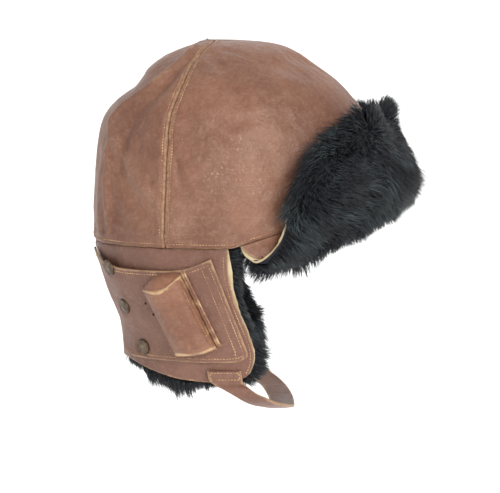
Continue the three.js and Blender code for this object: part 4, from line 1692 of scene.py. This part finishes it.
@dataclass
class Furrier:
    """Grows hairs as tapered three-sided spikes drawn together into locks."""

    finish: Material
    bands: tuple[float, ...] = (0.52,)

    def template(self) -> Template:
        """One upright hair of unit length, from a three-sided cone cut across."""
        rest_selection()
        bpy.ops.mesh.primitive_cone_add(
            vertices=3, radius1=1, radius2=0, depth=1, end_fill_type="NGON", location=(0, 0, 0.5)
        )
        piece = named("hair")
        bpy.ops.object.transform_apply(location=True)
        enter("EDIT")
        for height in self.bands:
            bpy.ops.mesh.select_all(action="SELECT")
            bpy.ops.mesh.bisect(plane_co=(0, 0, height), plane_no=(0, 0, 1))
        enter("OBJECT")
        return Template.taken(piece)

    def grow(self, field_: FurField, seed: int) -> Piece:
        """Grows one field of hairs.

        Args:
            field_: Where the hairs grow and how they lie.
            seed: Chooses their unevenness.

        Returns:
            The finished piece.
        """
        rng = np.random.default_rng(seed)
        count = len(field_.roots)
        length = field_.length * rng.uniform(0.78, 1.18, count)
        heading = unit(field_.lay + 0.16 * rng.normal(size=(count, 3)))
        tips = field_.roots + heading * length[:, None]
        tips[:, 2] -= field_.droop * length
        guides = rng.choice(count, max(int(count * field_.lock_share), 1), replace=False)
        tree = KDTree(len(guides))
        for index, guide in enumerate(guides):
            tree.insert(Vector(field_.roots[guide]), index)
        tree.balance()
        nearest = guides[[tree.find(Vector(root))[1] for root in field_.roots]]
        pull = field_.clump * rng.uniform(0.55, 1.15, count)[:, None]
        offset = (field_.roots - field_.roots[nearest]) * 0.25
        tips = tips * (1 - pull) + (tips[nearest] + offset) * pull
        bend = field_.roots + unit(0.55 * field_.outward + heading) * (0.5 * length[:, None])
        return self._spikes(field_, rng, bend, tips)

    def _spikes(
        self, field_: FurField, rng: np.random.Generator, bend: Array, tips: Array
    ) -> Piece:
        """Bends the template along each hair.

        Args:
            field_: Where the hairs grow.
            rng: Draws their unevenness.
            bend: The middle of each curve.
            tips: The ends.

        Returns:
            The finished piece.
        """
        template = self.template()
        t = template.points[:, 2][None, :, None]
        roots = field_.roots[:, None, :]
        bend, tips = bend[:, None, :], tips[:, None, :]
        centre = roots * (1 - t) ** 2 + 2 * bend * t * (1 - t) + tips * t**2
        ahead = unit(2 * (bend - roots) * (1 - t) + 2 * (tips - bend) * t)
        aside = unit(np.cross(ahead, rng.normal(size=(len(roots), 1, 3))))
        upward = np.cross(ahead, aside)
        radius = np.hypot(template.points[:, 0], template.points[:, 1])[None, :, None]
        angle = np.arctan2(template.points[:, 1], template.points[:, 0])[None, :, None]
        full = radius / np.maximum(1 - t, 1e-3) * (1 - t**2.2) * (t < 0.999)
        width = field_.width / 2 * rng.uniform(0.7, 1.3, len(roots))[:, None, None]
        points = centre + width * full * (aside * np.cos(angle) + upward * np.sin(angle))
        piece = template.copies(field_.name, points)
        shade = np.repeat(rng.uniform(0, 1, len(roots)), len(template.points))
        mark(piece.data, "shade", shade)
        dress(piece, [self.finish], field_.slot)
        return piece


@dataclass
class BrowFur:
    """The long fur of the brow flap."""

    form: FlapForm
    furrier: Furrier
    hairs: int = 11800
    hanging_hairs: int = 2600
    layers: int = 2
    hair_width: float = 0.85
    length: float = 18
    tuft_growth: float = 0.48
    crest_growth: float = 1.05
    lie: Table = Table(
        ("along", "lift", "down", "length"),
        (
            (0.00, 1.00, 0.20, 0.25),
            (0.20, 1.00, 0.20, 0.45),
            (0.25, 1.00, 0.25, 0.60),
            (0.40, 0.80, 0.60, 0.92),
            (0.58, 0.92, 0.62, 1.18),
            (0.74, 0.78, 0.52, 0.84),
            (0.85, 0.58, 0.25, 0.58),
            (0.96, 0.50, -0.80, 0.74),
            (1.04, 0.42, -1.00, 0.72),
        ),
    )

    def _field(self, name: str, count: int, seed: int) -> FurField:
        """Scatters the hairs of one layer and combs them.

        Args:
            name: The piece's name.
            count: How many hairs.
            seed: Chooses where they stand.

        Returns:
            The field.
        """
        form = self.form
        rng = np.random.default_rng(seed)
        u = rng.uniform(-1.03, 1.03, count)
        v = np.interp(rng.uniform(0, 1, count), (0, 0.14, 0.30, 0.92, 1), (0.02, 0.2, 0.30, 0.96, 1.035))
        u = u * np.interp(v, (0, 0.62, 0.78), (0.978, 0.982, 1.0))
        depth = form.fur_face + 0.32 * form.fur_depth(u, v)
        roots = form.point(u, v, depth)
        outward = unit(form.point(u, v, depth + 1) - roots)
        upward = unit(form.point(u, v + 0.004, depth) - roots)
        forward = unit(form.point(u + 0.004, v, depth) - roots) * -np.sign(u)[:, None]
        swirl = 0.55 * lumps(roots, 58, 41) + 0.3 * lumps(roots, 24, 42)
        share = form.fur_depth(u, v) / form.pile
        lift, down = self.lie.read("lift", v), self.lie.read("down", v)
        comb = forward * (0.42 + swirl)[:, None] * smooth(0.2, 0.4, v)[:, None]
        lay = unit(outward * (lift + 0.18 * lumps(roots, 17, 43))[:, None] - upward * down[:, None] + comb)
        end = smooth(0.78, 0.94, np.abs(u))[:, None]
        swept = end * smooth(0.70, 0.84, v)[:, None]
        folded = end * (1 - smooth(0.58, 0.74, v)[:, None])
        crest = (smooth(0.3, 0.62, np.abs(u)) * smooth(0.76, 0.9, v))[:, None]
        lay = lay * (1 - 0.85 * swept) + (outward * 0.25 - forward * 0.95 + np.array([0, 0, 0.15])) * swept
        lay = unit(lay * (1 - 0.7 * folded) + (forward * 0.8 + np.array([0, 0, -0.65])) * folded)
        length = self.length * self.lie.read("length", v) * (0.45 + 0.55 * share)
        tuft = smooth(0.2, 0.13, np.abs(u)) * smooth(0.88, 0.94, v)
        length = length * (1 + self.tuft_growth * tuft) * (1 + 0.10 * lumps(roots, 20, 44))
        length = length * (1 + 0.3 * swept[:, 0] + self.crest_growth * crest[:, 0])
        lay = unit(lay * (1 - 0.85 * crest) + (0.22 * outward - forward + np.array([0, 0, 0.45])) * crest)
        lay = unit(lay * (1 - 0.8 * tuft[:, None]) + tuft[:, None] * np.array([0.62, 0, 0.78]))
        return FurField(name, roots, outward, lay, length, self.hair_width, clump=0.46, lock_share=0.035)

    def _underside(self) -> FurField:
        """Hairs of the folded-under part, which hang below the flap's ends."""
        form = self.form
        rng = np.random.default_rng(66)
        side = np.where(rng.uniform(size=self.hanging_hairs) < 0.5, -1.0, 1.0)
        u = side * rng.uniform(0.62, 0.985, self.hanging_hairs)
        v = rng.uniform(0.04, 0.24, self.hanging_hairs)
        roots = form.point(u, v, np.full(len(u), form.fur_face + 0.6))
        outward = unit(form.point(u, v, np.full(len(u), form.fur_face + 1.6)) - roots)
        back = smooth(0.78, 1.0, np.abs(u))[:, None]
        lay = np.array([0.15, 0, -1.0]) * (1 - back) + np.array([-0.62, 0, -0.78]) * back
        lay = unit(lay + 0.12 * outward)
        length = np.interp(np.abs(u), (0.62, 0.78, 0.9, 1.0), (9, 17, 18, 14))
        length = length * (1 + 0.18 * lumps(roots, 14, 45))
        return FurField("brow_fur_underside", roots, outward, lay, length, 0.8, clump=0.42, lock_share=0.04)

    def build(self) -> None:
        """Grows every layer."""
        for layer in range(self.layers):
            field_ = self._field(f"brow_fur_hairs_{layer + 1}", self.hairs, 60 + layer)
            self.furrier.grow(field_, 80 + layer)
        self.furrier.grow(self._underside(), 83)


@dataclass
class CurtainFur:
    """The short pile of the curtain with its fringe at the front and the hem."""

    form: CurtainForm
    furrier: Furrier
    fringe_hairs: int = 9000
    pile_hairs: int = 11500
    fringe_length: float = 13.0
    pile_length: float = 8.5
    front_share: float = 0.56
    front_profile: tuple[tuple[float, ...], tuple[float, ...]] = (
        (0, 0.15, 0.3, 0.42, 0.6, 0.8, 0.95, 1.05),
        (1.05, 1.0, 0.8, 0.75, 1.0, 1.15, 1.0, 0.6),
    )
    hem_profile: tuple[tuple[float, ...], tuple[float, ...]] = (
        (0, 0.3, 0.42, 0.66, 0.78, 0.88, 1),
        (0.55, 0.7, 1.15, 1.3, 0.8, 0.45, 0.4),
    )

    def _fringe(self) -> FurField:
        """Hairs that show past the front edges and the hem."""
        form = self.form
        rng = np.random.default_rng(71)
        front = int(self.fringe_hairs * self.front_share)
        hem = self.fringe_hairs - front
        side = np.where(rng.uniform(size=front) < 0.5, -1.0, 1.0)
        front_u = side * (1 + rng.uniform(-5, 2.6, front) / form.half_round)
        u = np.concatenate([front_u, rng.uniform(-0.985, 0.985, hem)])
        v = np.concatenate([rng.uniform(0.03, 1.0, front), 1 + rng.uniform(-4, 1.0, hem) / form.drop])
        depth = form.fur_face - form.pile * rng.uniform(0.1, 0.8, self.fringe_hairs)
        roots = form.point(u, v, depth)
        outward = unit(form.point(u, v, depth + 1) - roots)
        is_front = np.concatenate([np.ones(front), np.zeros(hem)])[:, None]
        swing = lumps(roots, 22, 51)[:, None]
        ahead = np.array([1.0, 0, -0.42]) + np.array([0, 0, 0.4]) * swing
        below = np.array([0.1, 0, -1.0]) + np.array([0.45, 0, 0]) * swing
        inward = 0.15 + 0.2 * np.abs(rng.normal(size=(len(u), 1)))
        lay = unit(ahead * is_front + below * (1 - is_front) - outward * inward)
        at_front, at_hem = np.interp(v, *self.front_profile), np.interp(np.abs(u), *self.hem_profile)
        length = self.fringe_length * np.where(is_front[:, 0] > 0, at_front, at_hem)
        length = length * (1 + 0.15 * lumps(roots, 12, 52))
        return FurField("curtain_fur_fringe", roots, outward, lay, length, 0.75, clump=0.48, lock_share=0.045)

    def _pile(self) -> FurField:
        """Hairs all over the inner side."""
        form = self.form
        rng = np.random.default_rng(72)
        u, v = rng.uniform(-1.0, 1.0, self.pile_hairs), rng.uniform(0.03, 1.0, self.pile_hairs)
        depth = form.fur_face - 0.4 * form.pile
        roots = form.point(u, v, depth)
        inward = unit(form.point(u, v, depth - 1) - roots)
        lay = unit(inward * 0.62 + np.array([0.25, 0, -0.75]) * (1 + 0.3 * lumps(roots, 30, 53))[:, None])
        length = np.full(len(u), self.pile_length) * np.minimum(1, 0.4 + 4 * v)
        return FurField("curtain_fur_pile", roots, inward, lay, length, 1.15, clump=0.5, lock_share=0.05)

    def build(self) -> None:
        """Grows the fringe and the pile."""
        self.furrier.grow(self._fringe(), 91)
        self.furrier.grow(self._pile(), 92)


# Side panels


@dataclass
class SidePanel:
    """One side panel with its pouch, welt, studs and holes."""

    form: PanelForm
    side: Side
    finishes: Finishes
    pouch_length: float = 69
    pouch_width: float = 31.5
    pouch_depth: float = 14
    pouch_lean: float = math.radians(24.5)
    pouch_x: float = -41.7
    pouch_z: float = -51.4
    pouch_draw: float = 0.16
    pouch_skew: float = 0.09
    pouch_foot_draw: float = 0.05
    pouch_ahead: float = 5
    welt_width: float = 3.6
    welt_height: float = 2.6
    stud_rows: tuple[tuple[float, float], ...] = ((149.5, 0.225), (149.5, 0.61), (141.5, 1.00))
    stud_sink: float = 0.95
    holes: tuple[tuple[float, float], ...] = ((-19.2, 17.1), (-17.4, 7.1))
    hole_radius: float = 1.15
    hole_shade_radius: float = 1.2
    hole_shade_sink: float = 0.85
    foot: float = 0.93
    stitched_at: float = 0.90
    sewn_off: float = 0.35

    def stud_spots(self) -> list[tuple[Array, Array]]:
        """Where the studs sit, and the directions square to the panel there."""
        spots = []
        for angle, down in self.stud_rows:
            z = -self.form.depth * down
            ring = self.form.curtain.ring(np.array(z))
            x = float(ring.centre + ring.length * math.cos(math.radians(angle)))
            spots.append((self.form.over(self.side, x, z, 0.0), self.form.square(self.side, x, z)))
        return spots

    def pouch_place(self, across: Array, along: Array) -> tuple[Array, Array]:
        """Distance ahead and height for a place on the pouch, in millimetres from its middle."""
        cos, sin = math.cos(self.pouch_lean), math.sin(self.pouch_lean)
        return self.pouch_x + across * cos - along * sin, self.pouch_z + across * sin + along * cos

    def relief(self, base: Array) -> Array:
        """Dents round the studs and soft unevenness."""
        out = 0.3 * lumps(base, 26, 61) + 0.1 * lumps(base, 12, 62)
        for spot, _ in self.stud_spots():
            radius = np.linalg.norm(base - spot, axis=1)
            out = out - 1.2 * bell(radius, 7.6) + 0.55 * bell(radius - 9.6, 2.2)
        return out

    def skin(self, along: Array, down: Array) -> tuple[Array, Array]:
        """Places and outward directions on the panel's leather."""
        face = self.form.face
        base = self.form.point(self.side, along, down, face)
        out = face + self.relief(base)
        place = self.form.point(self.side, along, down, out)
        return place, unit(self.form.point(self.side, along, down, out + 1) - place)

    def _sheet(self) -> Piece:
        """The panel's leather with its two small holes."""
        form, side = self.form, self.side

        def place(u: Array, v: Array, out: Array) -> Array:
            """Points of the sheet."""
            return form.point(side, u, v, form.face + out)

        def rim(u: Array, v: Array, base: Array) -> Array:
            """Distance from the panel's cut edge."""
            wide, tall = 100.0, 65.0
            return np.minimum(np.minimum(u, 1 - u) * wide, np.minimum(v, 1 - v) * tall) + 0.15

        piece = Cut(
            f"side_panel_leather_{side.word}", 66, 52, place, form.leather,
            crowd_columns=0.3,
            crowd_rows=0.3,
            relief=lambda u, v, base: self.relief(base),
            marks={"rim": rim, "seam": no_seam},
        ).lay()
        for number, (across, along) in enumerate(self.holes, 1):
            self._punch(piece, across, along)
            # A near-black disc under each hole stands in for its shadow: painted shade.
            dress(self._hole_shade(number, across, along), [self.finishes.shade], "curtain_leather")
        return piece

    def _hole_shade(self, number: int, across: float, along: float) -> Piece:
        """A near-black dished disc under one hole, as painted shade for the hole's depth."""
        x, z = self.pouch_place(np.array(across), np.array(along))
        rest_selection()
        radius = self.hole_shade_radius * MM
        bpy.ops.mesh.primitive_cylinder_add(vertices=20, radius=radius, depth=0.4 * MM, location=(0, 0, 0))
        piece = named(f"panel_hole_shade_{self.side.word}_{number}")
        step_top(piece, 0.3, -0.25)
        spot = self.form.over(self.side, x, z, -self.hole_shade_sink)
        place_cap(piece, spot, self.form.square(self.side, x, z))
        return piece

    def _punch(self, piece: Piece, across: float, along: float) -> None:
        """Punches one hole through the panel.

        Args:
            piece: The panel's leather.
            across: Place across the pouch.
            along: Place along the pouch.
        """
        x, z = self.pouch_place(np.array(across), np.array(along))
        place = self.form.over(self.side, x, z, 0.0) * MM
        turn = Vector((0, 0, 1)).rotation_difference(Vector(self.form.square(self.side, x, z)))
        rest_selection()
        radius = self.hole_radius * MM
        bpy.ops.mesh.primitive_cylinder_add(vertices=20, radius=radius, depth=9 * MM, location=place)
        punch = named("punch")
        punch.rotation_mode = "QUATERNION"
        punch.rotation_quaternion = turn
        bpy.context.view_layer.update()
        hole = piece.modifiers.new("hole", "BOOLEAN")
        hole.operation = "DIFFERENCE"
        hole.solver = "EXACT"
        hole.object = punch
        apply_modifiers(piece)
        bpy.data.objects.remove(punch)

    def pouch_height(self, across: Array, along: Array) -> Array:
        """Share of the pouch's full depth at shares of its half width and half length."""
        round_ = np.power(np.maximum(1 - np.power(np.abs(across), 3), 0), 1 / 2.4)
        upper = np.power(np.maximum(1 - np.power(np.maximum(along - 0.55, 0) / 0.45, 2.5), 0), 0.5)
        lower = np.power(np.maximum(1 - np.power(np.maximum(-along, 0), 14), 0), 0.5)
        return round_ * upper * lower

    def pouch_surface(self, across: Array, along: Array, out: Array) -> Array:
        """Points of the pouch's outer face.

        Args:
            across: Share of the half width.
            along: Share of the half length.
            out: Distances outwards.

        Returns:
            Points, one row each.
        """
        up = self.pouch_draw * np.square(across) * np.maximum(along, 0)
        down = (self.pouch_skew * across - self.pouch_foot_draw * np.square(across)) * np.maximum(-along, 0)
        half = self.pouch_length / 2
        height = self.pouch_height(across, along)
        ahead = self.pouch_ahead * height * smooth(0.2, -1.0, across)
        x, z = self.pouch_place(across * self.pouch_width / 2 + ahead, along * (1 - up + down) * half)
        return self.form.over(self.side, x, z, self.sewn_off + self.pouch_depth * height + out)

    def pouch_rim(self, across: Array, along: Array) -> Array:
        """Distance from the rim between the pouch's front and its upper gusset."""
        rim = 0.92 - 0.30 * (1 - np.square(across))
        return (along - rim) * self.pouch_length / 2

    def pouch_relief(self, across: Array, along: Array, base: Array) -> Array:
        """The stepped gusset, rolled rims and slack of the pouch.

        Args:
            across: Share of the half width.
            along: Share of the half length.
            base: The points.

        Returns:
            Distances outwards.
        """
        past = self.pouch_rim(across, along)
        out = -1.5 * smooth(-0.2, 1.6, past) * smooth(1.0, 0.85, np.abs(across))
        out = out + 0.55 * bell(past + 0.6, 1.0)
        foot = (along + self.foot) * self.pouch_length / 2
        out = out + 0.4 * bell(foot, 1.2)
        slack = smooth(1.0, 0.7, np.abs(across)) * smooth(-1, -0.8, along)
        out = out + slack * (0.45 * lumps(base, 24, 63) + 0.15 * lumps(base, 10, 64))
        return out - 0.35 * bell((across - self.stitched_at) * 15, 0.8) * (past < 0)

    def _pouch(self) -> Piece:
        """The pouch's case, gusset and rims in one hollow shell."""

        def place(u: Array, v: Array, out: Array) -> Array:
            """Points of the sheet."""
            return self.pouch_surface(2 * u - 1, 2 * v - 1, out)

        def rim(u: Array, v: Array, base: Array) -> Array:
            """Distance from the nearest rubbed rim."""
            across, along = 2 * u - 1, 2 * v - 1
            past = np.abs(self.pouch_rim(across, along) + 0.4)
            foot = np.abs((along + self.foot) * self.pouch_length / 2)
            right_edge = np.abs(1 - across) * 14 + 0.9
            return np.minimum(np.minimum(past, foot * 0.8), right_edge) + 0.1

        def seam(u: Array, v: Array, base: Array) -> Array:
            """Marks the sunk line behind the pouch's rim, which the finish darkens as painted shade."""
            past = self.pouch_rim(2 * u - 1, 2 * v - 1)
            return -np.where(past > 0.8, past - 0.7, 9.0)

        return Cut(
            f"pouch_case_{self.side.word}", 50, 72, place, self.form.leather,
            crowd_columns=0.55,
            crowd_rows=0.35,
            relief=lambda u, v, base: self.pouch_relief(2 * u - 1, 2 * v - 1, base),
            marks={"rim": rim, "seam": seam},
        ).lay()

    def _welt(self) -> Piece:
        """The raised double seam along the pouch's front side."""
        near = self.pouch_width / 2 + 0.35

        def place(u: Array, v: Array, out: Array) -> Array:
            """Points of the sheet."""
            x, z = self.pouch_place(near + self.welt_width * u, (v * 0.94 - 0.5) * self.pouch_length)
            crest = self.welt_height * (0.7 + 0.3 * np.sin(np.pi * u)) - 0.5 * bell(u - 0.5, 0.12)
            slope = smooth(0, 0.05, v) * smooth(1, 0.95, v)
            return self.form.over(self.side, x, z, self.sewn_off + crest * (0.5 + 0.5 * slope) + out)

        return Cut(
            f"pouch_welt_leather_{self.side.word}", 10, 80, place, self.welt_height * 0.62,
            roll=0.5,
            marks={
                "rim": lambda u, v, base: 1.1 + 1.4 * np.minimum(u, 1 - u) + 0.7 * lumps(base, 11, 65),
                # The seam mark darkens the welt's middle line: painted shade.
                "seam": lambda u, v, base: -(np.abs(u - 0.5) * 3 + 0.35),
            },
        ).lay()

    def _stud(self, number: int, spot: Array, square: Array) -> Piece:
        """One press stud cap, pressed a little into the leather."""
        piece = StudCap().make(f"press_stud_{self.side.word}_{number}")
        place_cap(piece, spot - square * self.stud_sink, square)
        return piece

    def _stitch_lines(self) -> list[tuple[Array, Array]]:
        """Rows along the mouth, down the front edge and along the bottom."""
        along = np.linspace(0.02, 0.97, 90)
        down = np.linspace(0.03, 0.985, 70)
        rows = [self.skin(along, np.full(90, 0.042))]
        rows.append(self.skin(np.linspace(0.05, 0.97, 90), np.full(90, 0.955)))
        rows.append(self.skin(np.full(70, 0.972), down))
        rows.append(self.skin(np.full(70, 0.925), np.linspace(0.06, 0.93, 70)))
        length = np.linspace(-0.90, 0.62, 50)
        across = np.full(50, self.stitched_at)
        base = self.pouch_surface(across, length, np.zeros(50))
        out = self.pouch_relief(across, length, base)
        place = self.pouch_surface(across, length, out)
        ahead = unit(np.gradient(place, axis=0))
        sideways = unit(self.pouch_surface(across + 0.02, length, out) - place)
        square = unit(np.cross(ahead, sideways)) * self.side.value
        square = square * np.sign((square * self._outward(place)).sum(axis=1, keepdims=True))
        rows.append((place, square))
        return rows

    @staticmethod
    def _outward(place: Array) -> Array:
        """Directions away from the middle of the head."""
        away = place.copy()
        away[:, 2] = 0
        return unit(away)

    def build(self) -> None:
        """Makes the panel and all that it carries."""
        word = self.side.word
        skins = (self.finishes.curtain, self.finishes.inside, self.finishes.edge)
        dress(self._sheet(), skins, "curtain_leather", f"side_panel_{word}")
        pouch_skins = (self.finishes.pouch, self.finishes.inside, self.finishes.edge)
        dress(self._pouch(), pouch_skins, "pouch_leather", f"pouch_{word}")
        dress(self._welt(), pouch_skins, "pouch_leather", f"pouch_welt_{word}")
        for number, (spot, square) in enumerate(self.stud_spots(), 1):
            cap = self._stud(number, spot, square)
            dress(cap, [self.finishes.brass], "stud_brass", f"stud_{word}_{number}")
        thread = Thread().sew(f"side_panel_topstitching_{word}", self._stitch_lines())
        dress(thread, [self.finishes.thread], "curtain_leather")


@dataclass(frozen=True)
class StudCap:
    """A press stud cap with a rolled rim and a low dome."""

    radius: float = 6.3
    height: float = 1.4
    sides: int = 28
    steps: tuple[tuple[float, float], ...] = ((0.9, 0.9), (0.7, -0.45), (1.3, 0.35), (1.5, 0.15))

    def make(self, name: str) -> Piece:
        """Models the cap lying flat at the origin.

        Args:
            name: The piece's name.

        Returns:
            The object.
        """
        rest_selection()
        bpy.ops.mesh.primitive_cylinder_add(
            vertices=self.sides,
            radius=self.radius * MM,
            depth=self.height * MM,
            location=(0, 0, self.height / 2 * MM),
        )
        piece = named(name)
        bpy.ops.object.transform_apply(location=True)
        for inset, lift in self.steps:
            step_top(piece, inset, lift)
        bevel(piece, 0.35, 35)
        apply_modifiers(piece)
        soften(piece, 45)
        return piece


def place_cap(piece: Piece, spot: Array, square: Array) -> None:
    """Moves a cap's mesh to its spot, square to the leather.

    Args:
        piece: The cap.
        spot: Its place in millimetres.
        square: The direction that it faces.
    """
    turn = Vector((0, 0, 1)).rotation_difference(Vector(square)).to_matrix().to_4x4()
    piece.data.transform(Matrix.Translation(Vector(spot) * MM) @ turn)


# Chin strap


@dataclass
class ChinStrap:
    """A whole loop of leather from one ear flap under the chin to the other."""

    curtain: CurtainForm
    finishes: Finishes
    width: float = 20
    root_width: float = 26
    thickness: float = 2.2
    drop: float = 35
    forward: float = 46
    root_x: float = -8
    stud_share: float = 0.95
    box_ends: tuple[float, float] = (0.985, 0.915)
    box_sides: tuple[float, float] = (0.08, 0.92)
    route: Table = Table(
        ("at", "forward", "width", "drop"),
        (
            (0.000, 0.00, 0.800, -0.10),
            (0.125, 0.06, 0.800, 0.17),
            (0.250, 0.28, 0.785, 0.35),
            (0.375, 0.47, 0.760, 0.51),
            (0.500, 0.62, 0.690, 0.64),
            (0.625, 0.82, 0.540, 0.79),
            (0.750, 0.95, 0.310, 0.92),
            (0.875, 0.99, 0.150, 0.98),
            (1.000, 1.00, 0.000, 1.00),
        ),
    )

    def station(self, share: Array) -> Array:
        """Middle of the strap, from -1 at its right end to 1 at its left end."""
        at = 1 - np.abs(share)
        sign = np.where(share < 0, -1.0, 1.0)
        x = self.root_x + self.forward * self.route.read("forward", at)
        z = -self.curtain.drop * 0.94 - self.drop * self.route.read("drop", at)
        lift = np.full(len(x), 0.5 + self.thickness / 2)
        right, left = (self.curtain.side_point(side, x, z, lift)[:, 1] for side in Side)
        sewn = np.where(share < 0, right, left)
        free = self.curtain.half_width * self.route.read("width", at) * sign
        blend = smooth(0.125, 0.25, at)
        return np.stack([x, sewn * (1 - blend) + free * blend, z], axis=-1)

    def square(self, share: Array) -> Array:
        """Outward directions of the strap."""
        ahead = self.station(np.minimum(share + 0.01, 1)) - self.station(np.maximum(share - 0.01, -1))
        return unit(np.cross(ahead, np.array([1.0, 0, 0])))

    def surface(self, across: Array, share: Array, out: Array) -> Array:
        """Points of the strap's outer face.

        Args:
            across: 0 to 1 over its width.
            share: -1 to 1 from end to end.
            out: Distances outwards.

        Returns:
            Points, one row each.
        """
        place = self.station(share)
        width = self.width + (self.root_width - self.width) * smooth(0.7, 0.95, np.abs(share))
        place[:, 0] += (across - 0.5) * width
        crown = -0.5 * np.power(np.abs(2 * across - 1), 4)
        return place + self.square(share) * (self.thickness / 2 + crown + out)[:, None]

    def build(self) -> None:
        """Makes the strap, its box stitching and its far stud."""

        def place(u: Array, v: Array, out: Array) -> Array:
            """Points of the sheet."""
            return self.surface(u, 2 * v - 1, out)

        piece = Cut(
            "chin_strap_leather", 12, 150, place, self.thickness,
            roll=0.5,
            relief=lambda u, v, base: 0.25 * lumps(base, 26, 71) * smooth(0, 0.1, v) * smooth(1, 0.9, v),
            marks={
                "rim": lambda u, v, base: np.minimum(u, 1 - u) * self.width * 0.9 + 0.1,
                "seam": no_seam,
            },
        ).lay()
        skins = (self.finishes.curtain, self.finishes.inside, self.finishes.edge)
        dress(piece, skins, "strap_leather", "chin_strap")
        rows = []
        for way in (-1, 1):
            for level in self.box_ends:
                across = np.linspace(*self.box_sides, 20)
                rows.append(self._row(across, np.full(20, way * level)))
            for across in self.box_sides:
                rows.append(self._row(np.full(20, across), way * np.linspace(*self.box_ends, 20)))
        thread = Thread(pitch=2.4).sew("chin_strap_box_stitching", rows)
        dress(thread, [self.finishes.thread], "strap_leather")
        share = np.array([self.stud_share])
        cap = StudCap().make("chin_strap_press_stud")
        square = self.square(share)[0]
        place_cap(cap, self.station(share)[0] + square * (self.thickness / 2 + 0.1), square)
        dress(cap, [self.finishes.brass], "stud_brass", "chin_strap_stud")

    def _row(self, across: Array, share: Array) -> tuple[Array, Array]:
        """A row of stitches on the strap."""
        return self.surface(across, share, np.zeros(len(share))), self.square(share)


# Studio


@dataclass
class Studio:
    """Pale sweep, soft lights and the camera."""

    target: tuple[float, float, float] = (0.012, 0.0, -0.0068)
    distance: float = 1.4
    elevation: float = 6.0
    lens: float = 126.0
    floor_z: float = -0.30

    def _sweep(self) -> None:
        """A floor that curves up into a back wall."""
        rest_selection()
        bpy.ops.mesh.primitive_plane_add(size=1, location=(0, 0, 0))
        floor = named("studio_sweep")
        enter("EDIT")
        bpy.ops.mesh.select_all(action="SELECT")
        bpy.ops.transform.resize(value=(16, 9, 1))
        bpy.ops.transform.translate(value=(0, -1.0, self.floor_z))
        bpy.ops.mesh.select_mode(type="EDGE")
        bpy.ops.mesh.select_all(action="DESELECT")
        enter("OBJECT")
        far = max(floor.data.edges, key=lambda e: sum(floor.data.vertices[i].co.y for i in e.vertices))
        far.select = True
        enter("EDIT")
        bpy.ops.mesh.extrude_region_move(TRANSFORM_OT_translate={"value": (0, 0, 5)})
        enter("OBJECT")
        curve = floor.modifiers.new("curve", "BEVEL")
        curve.width, curve.segments, curve.limit_method = 1.6, 16, "ANGLE"
        apply_modifiers(floor)
        soften(floor, 60)
        paper = Recipe("studio_paper")
        cloud = paper.ranged(paper.noise(3, 2), 0.3, 0.7)
        tone = paper.mixed(cloud, (0.965, 0.965, 0.96), (0.98, 0.98, 0.978))
        glow = {"Emission_Color": (1, 1, 1, 1), "Emission_Strength": 0.34}
        floor.data.materials.append(paper.finish(tone, 0.9, None, **glow))

    @staticmethod
    def _lamp(name: str, place: tuple[float, ...], size: float, power: float, tint: Colour) -> None:
        """Adds one soft square lamp aimed at the helmet.

        Args:
            name: The lamp's name.
            place: Where it stands.
            size: Length of its side.
            power: Its watts.
            tint: Its colour.
        """
        data = bpy.data.lights.new(name, "AREA")
        data.size, data.energy, data.color = size, power, tint
        lamp = bpy.data.objects.new(name, data)
        bpy.context.scene.collection.objects.link(lamp)
        lamp.location = place
        lamp.rotation_euler = (Vector((0, 0, 0.02)) - Vector(place)).to_track_quat("-Z", "Y").to_euler()

    def build(self) -> None:
        """Sets the floor, the world, the lamps and the camera."""
        self._sweep()
        scene = bpy.context.scene
        world = bpy.data.worlds.new("studio_air")
        world.use_nodes = True
        world.node_tree.nodes["Background"].inputs["Color"].default_value = (1, 0.995, 0.985, 1)
        world.node_tree.nodes["Background"].inputs["Strength"].default_value = 0.52
        scene.world = world
        self._lamp("key", (1.2, -2.4, 1.15), 1.0, 58, (1, 0.99, 0.965))
        self._lamp("fill", (-2.0, -1.2, 1.3), 1.6, 6, (0.97, 0.985, 1))
        self._lamp("back", (0.2, 2.0, 2.6), 1.8, 14, (1, 1, 1))
        data = bpy.data.cameras.new("camera")
        data.sensor_width, data.lens = 36, self.lens
        data.clip_start, data.clip_end = 0.05, 60
        camera = bpy.data.objects.new("camera", data)
        scene.collection.objects.link(camera)
        tilt = math.radians(self.elevation)
        away = Vector((0, -math.cos(tilt), math.sin(tilt)))
        camera.location = Vector(self.target) + away * self.distance
        camera.rotation_euler = (-away).to_track_quat("-Z", "Y").to_euler()
        scene.camera = camera
        scene.view_settings.view_transform = "Standard"
        scene.view_settings.look = "None"


def main() -> None:
    """Builds the helmet over its frame."""
    logging.basicConfig(level=logging.INFO, format="%(name)s: %(message)s")
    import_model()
    rest_selection()
    Studio().build()
    finishes = Finishes()
    crown, curtain = CrownForm(), CurtainForm()
    flap, panel = FlapForm(crown), PanelForm(curtain)
    Crown(crown, finishes).build()
    Curtain(curtain, finishes).build()
    BrowFlap(flap, finishes).build()
    for side in Side:
        SidePanel(panel, side, finishes).build()
    ChinStrap(curtain, finishes).build()
    BrowFur(flap, Furrier(finishes.fur)).build()
    CurtainFur(curtain, Furrier(finishes.fur)).build()
    rest_selection()


if __name__ == "__main__":
    main()
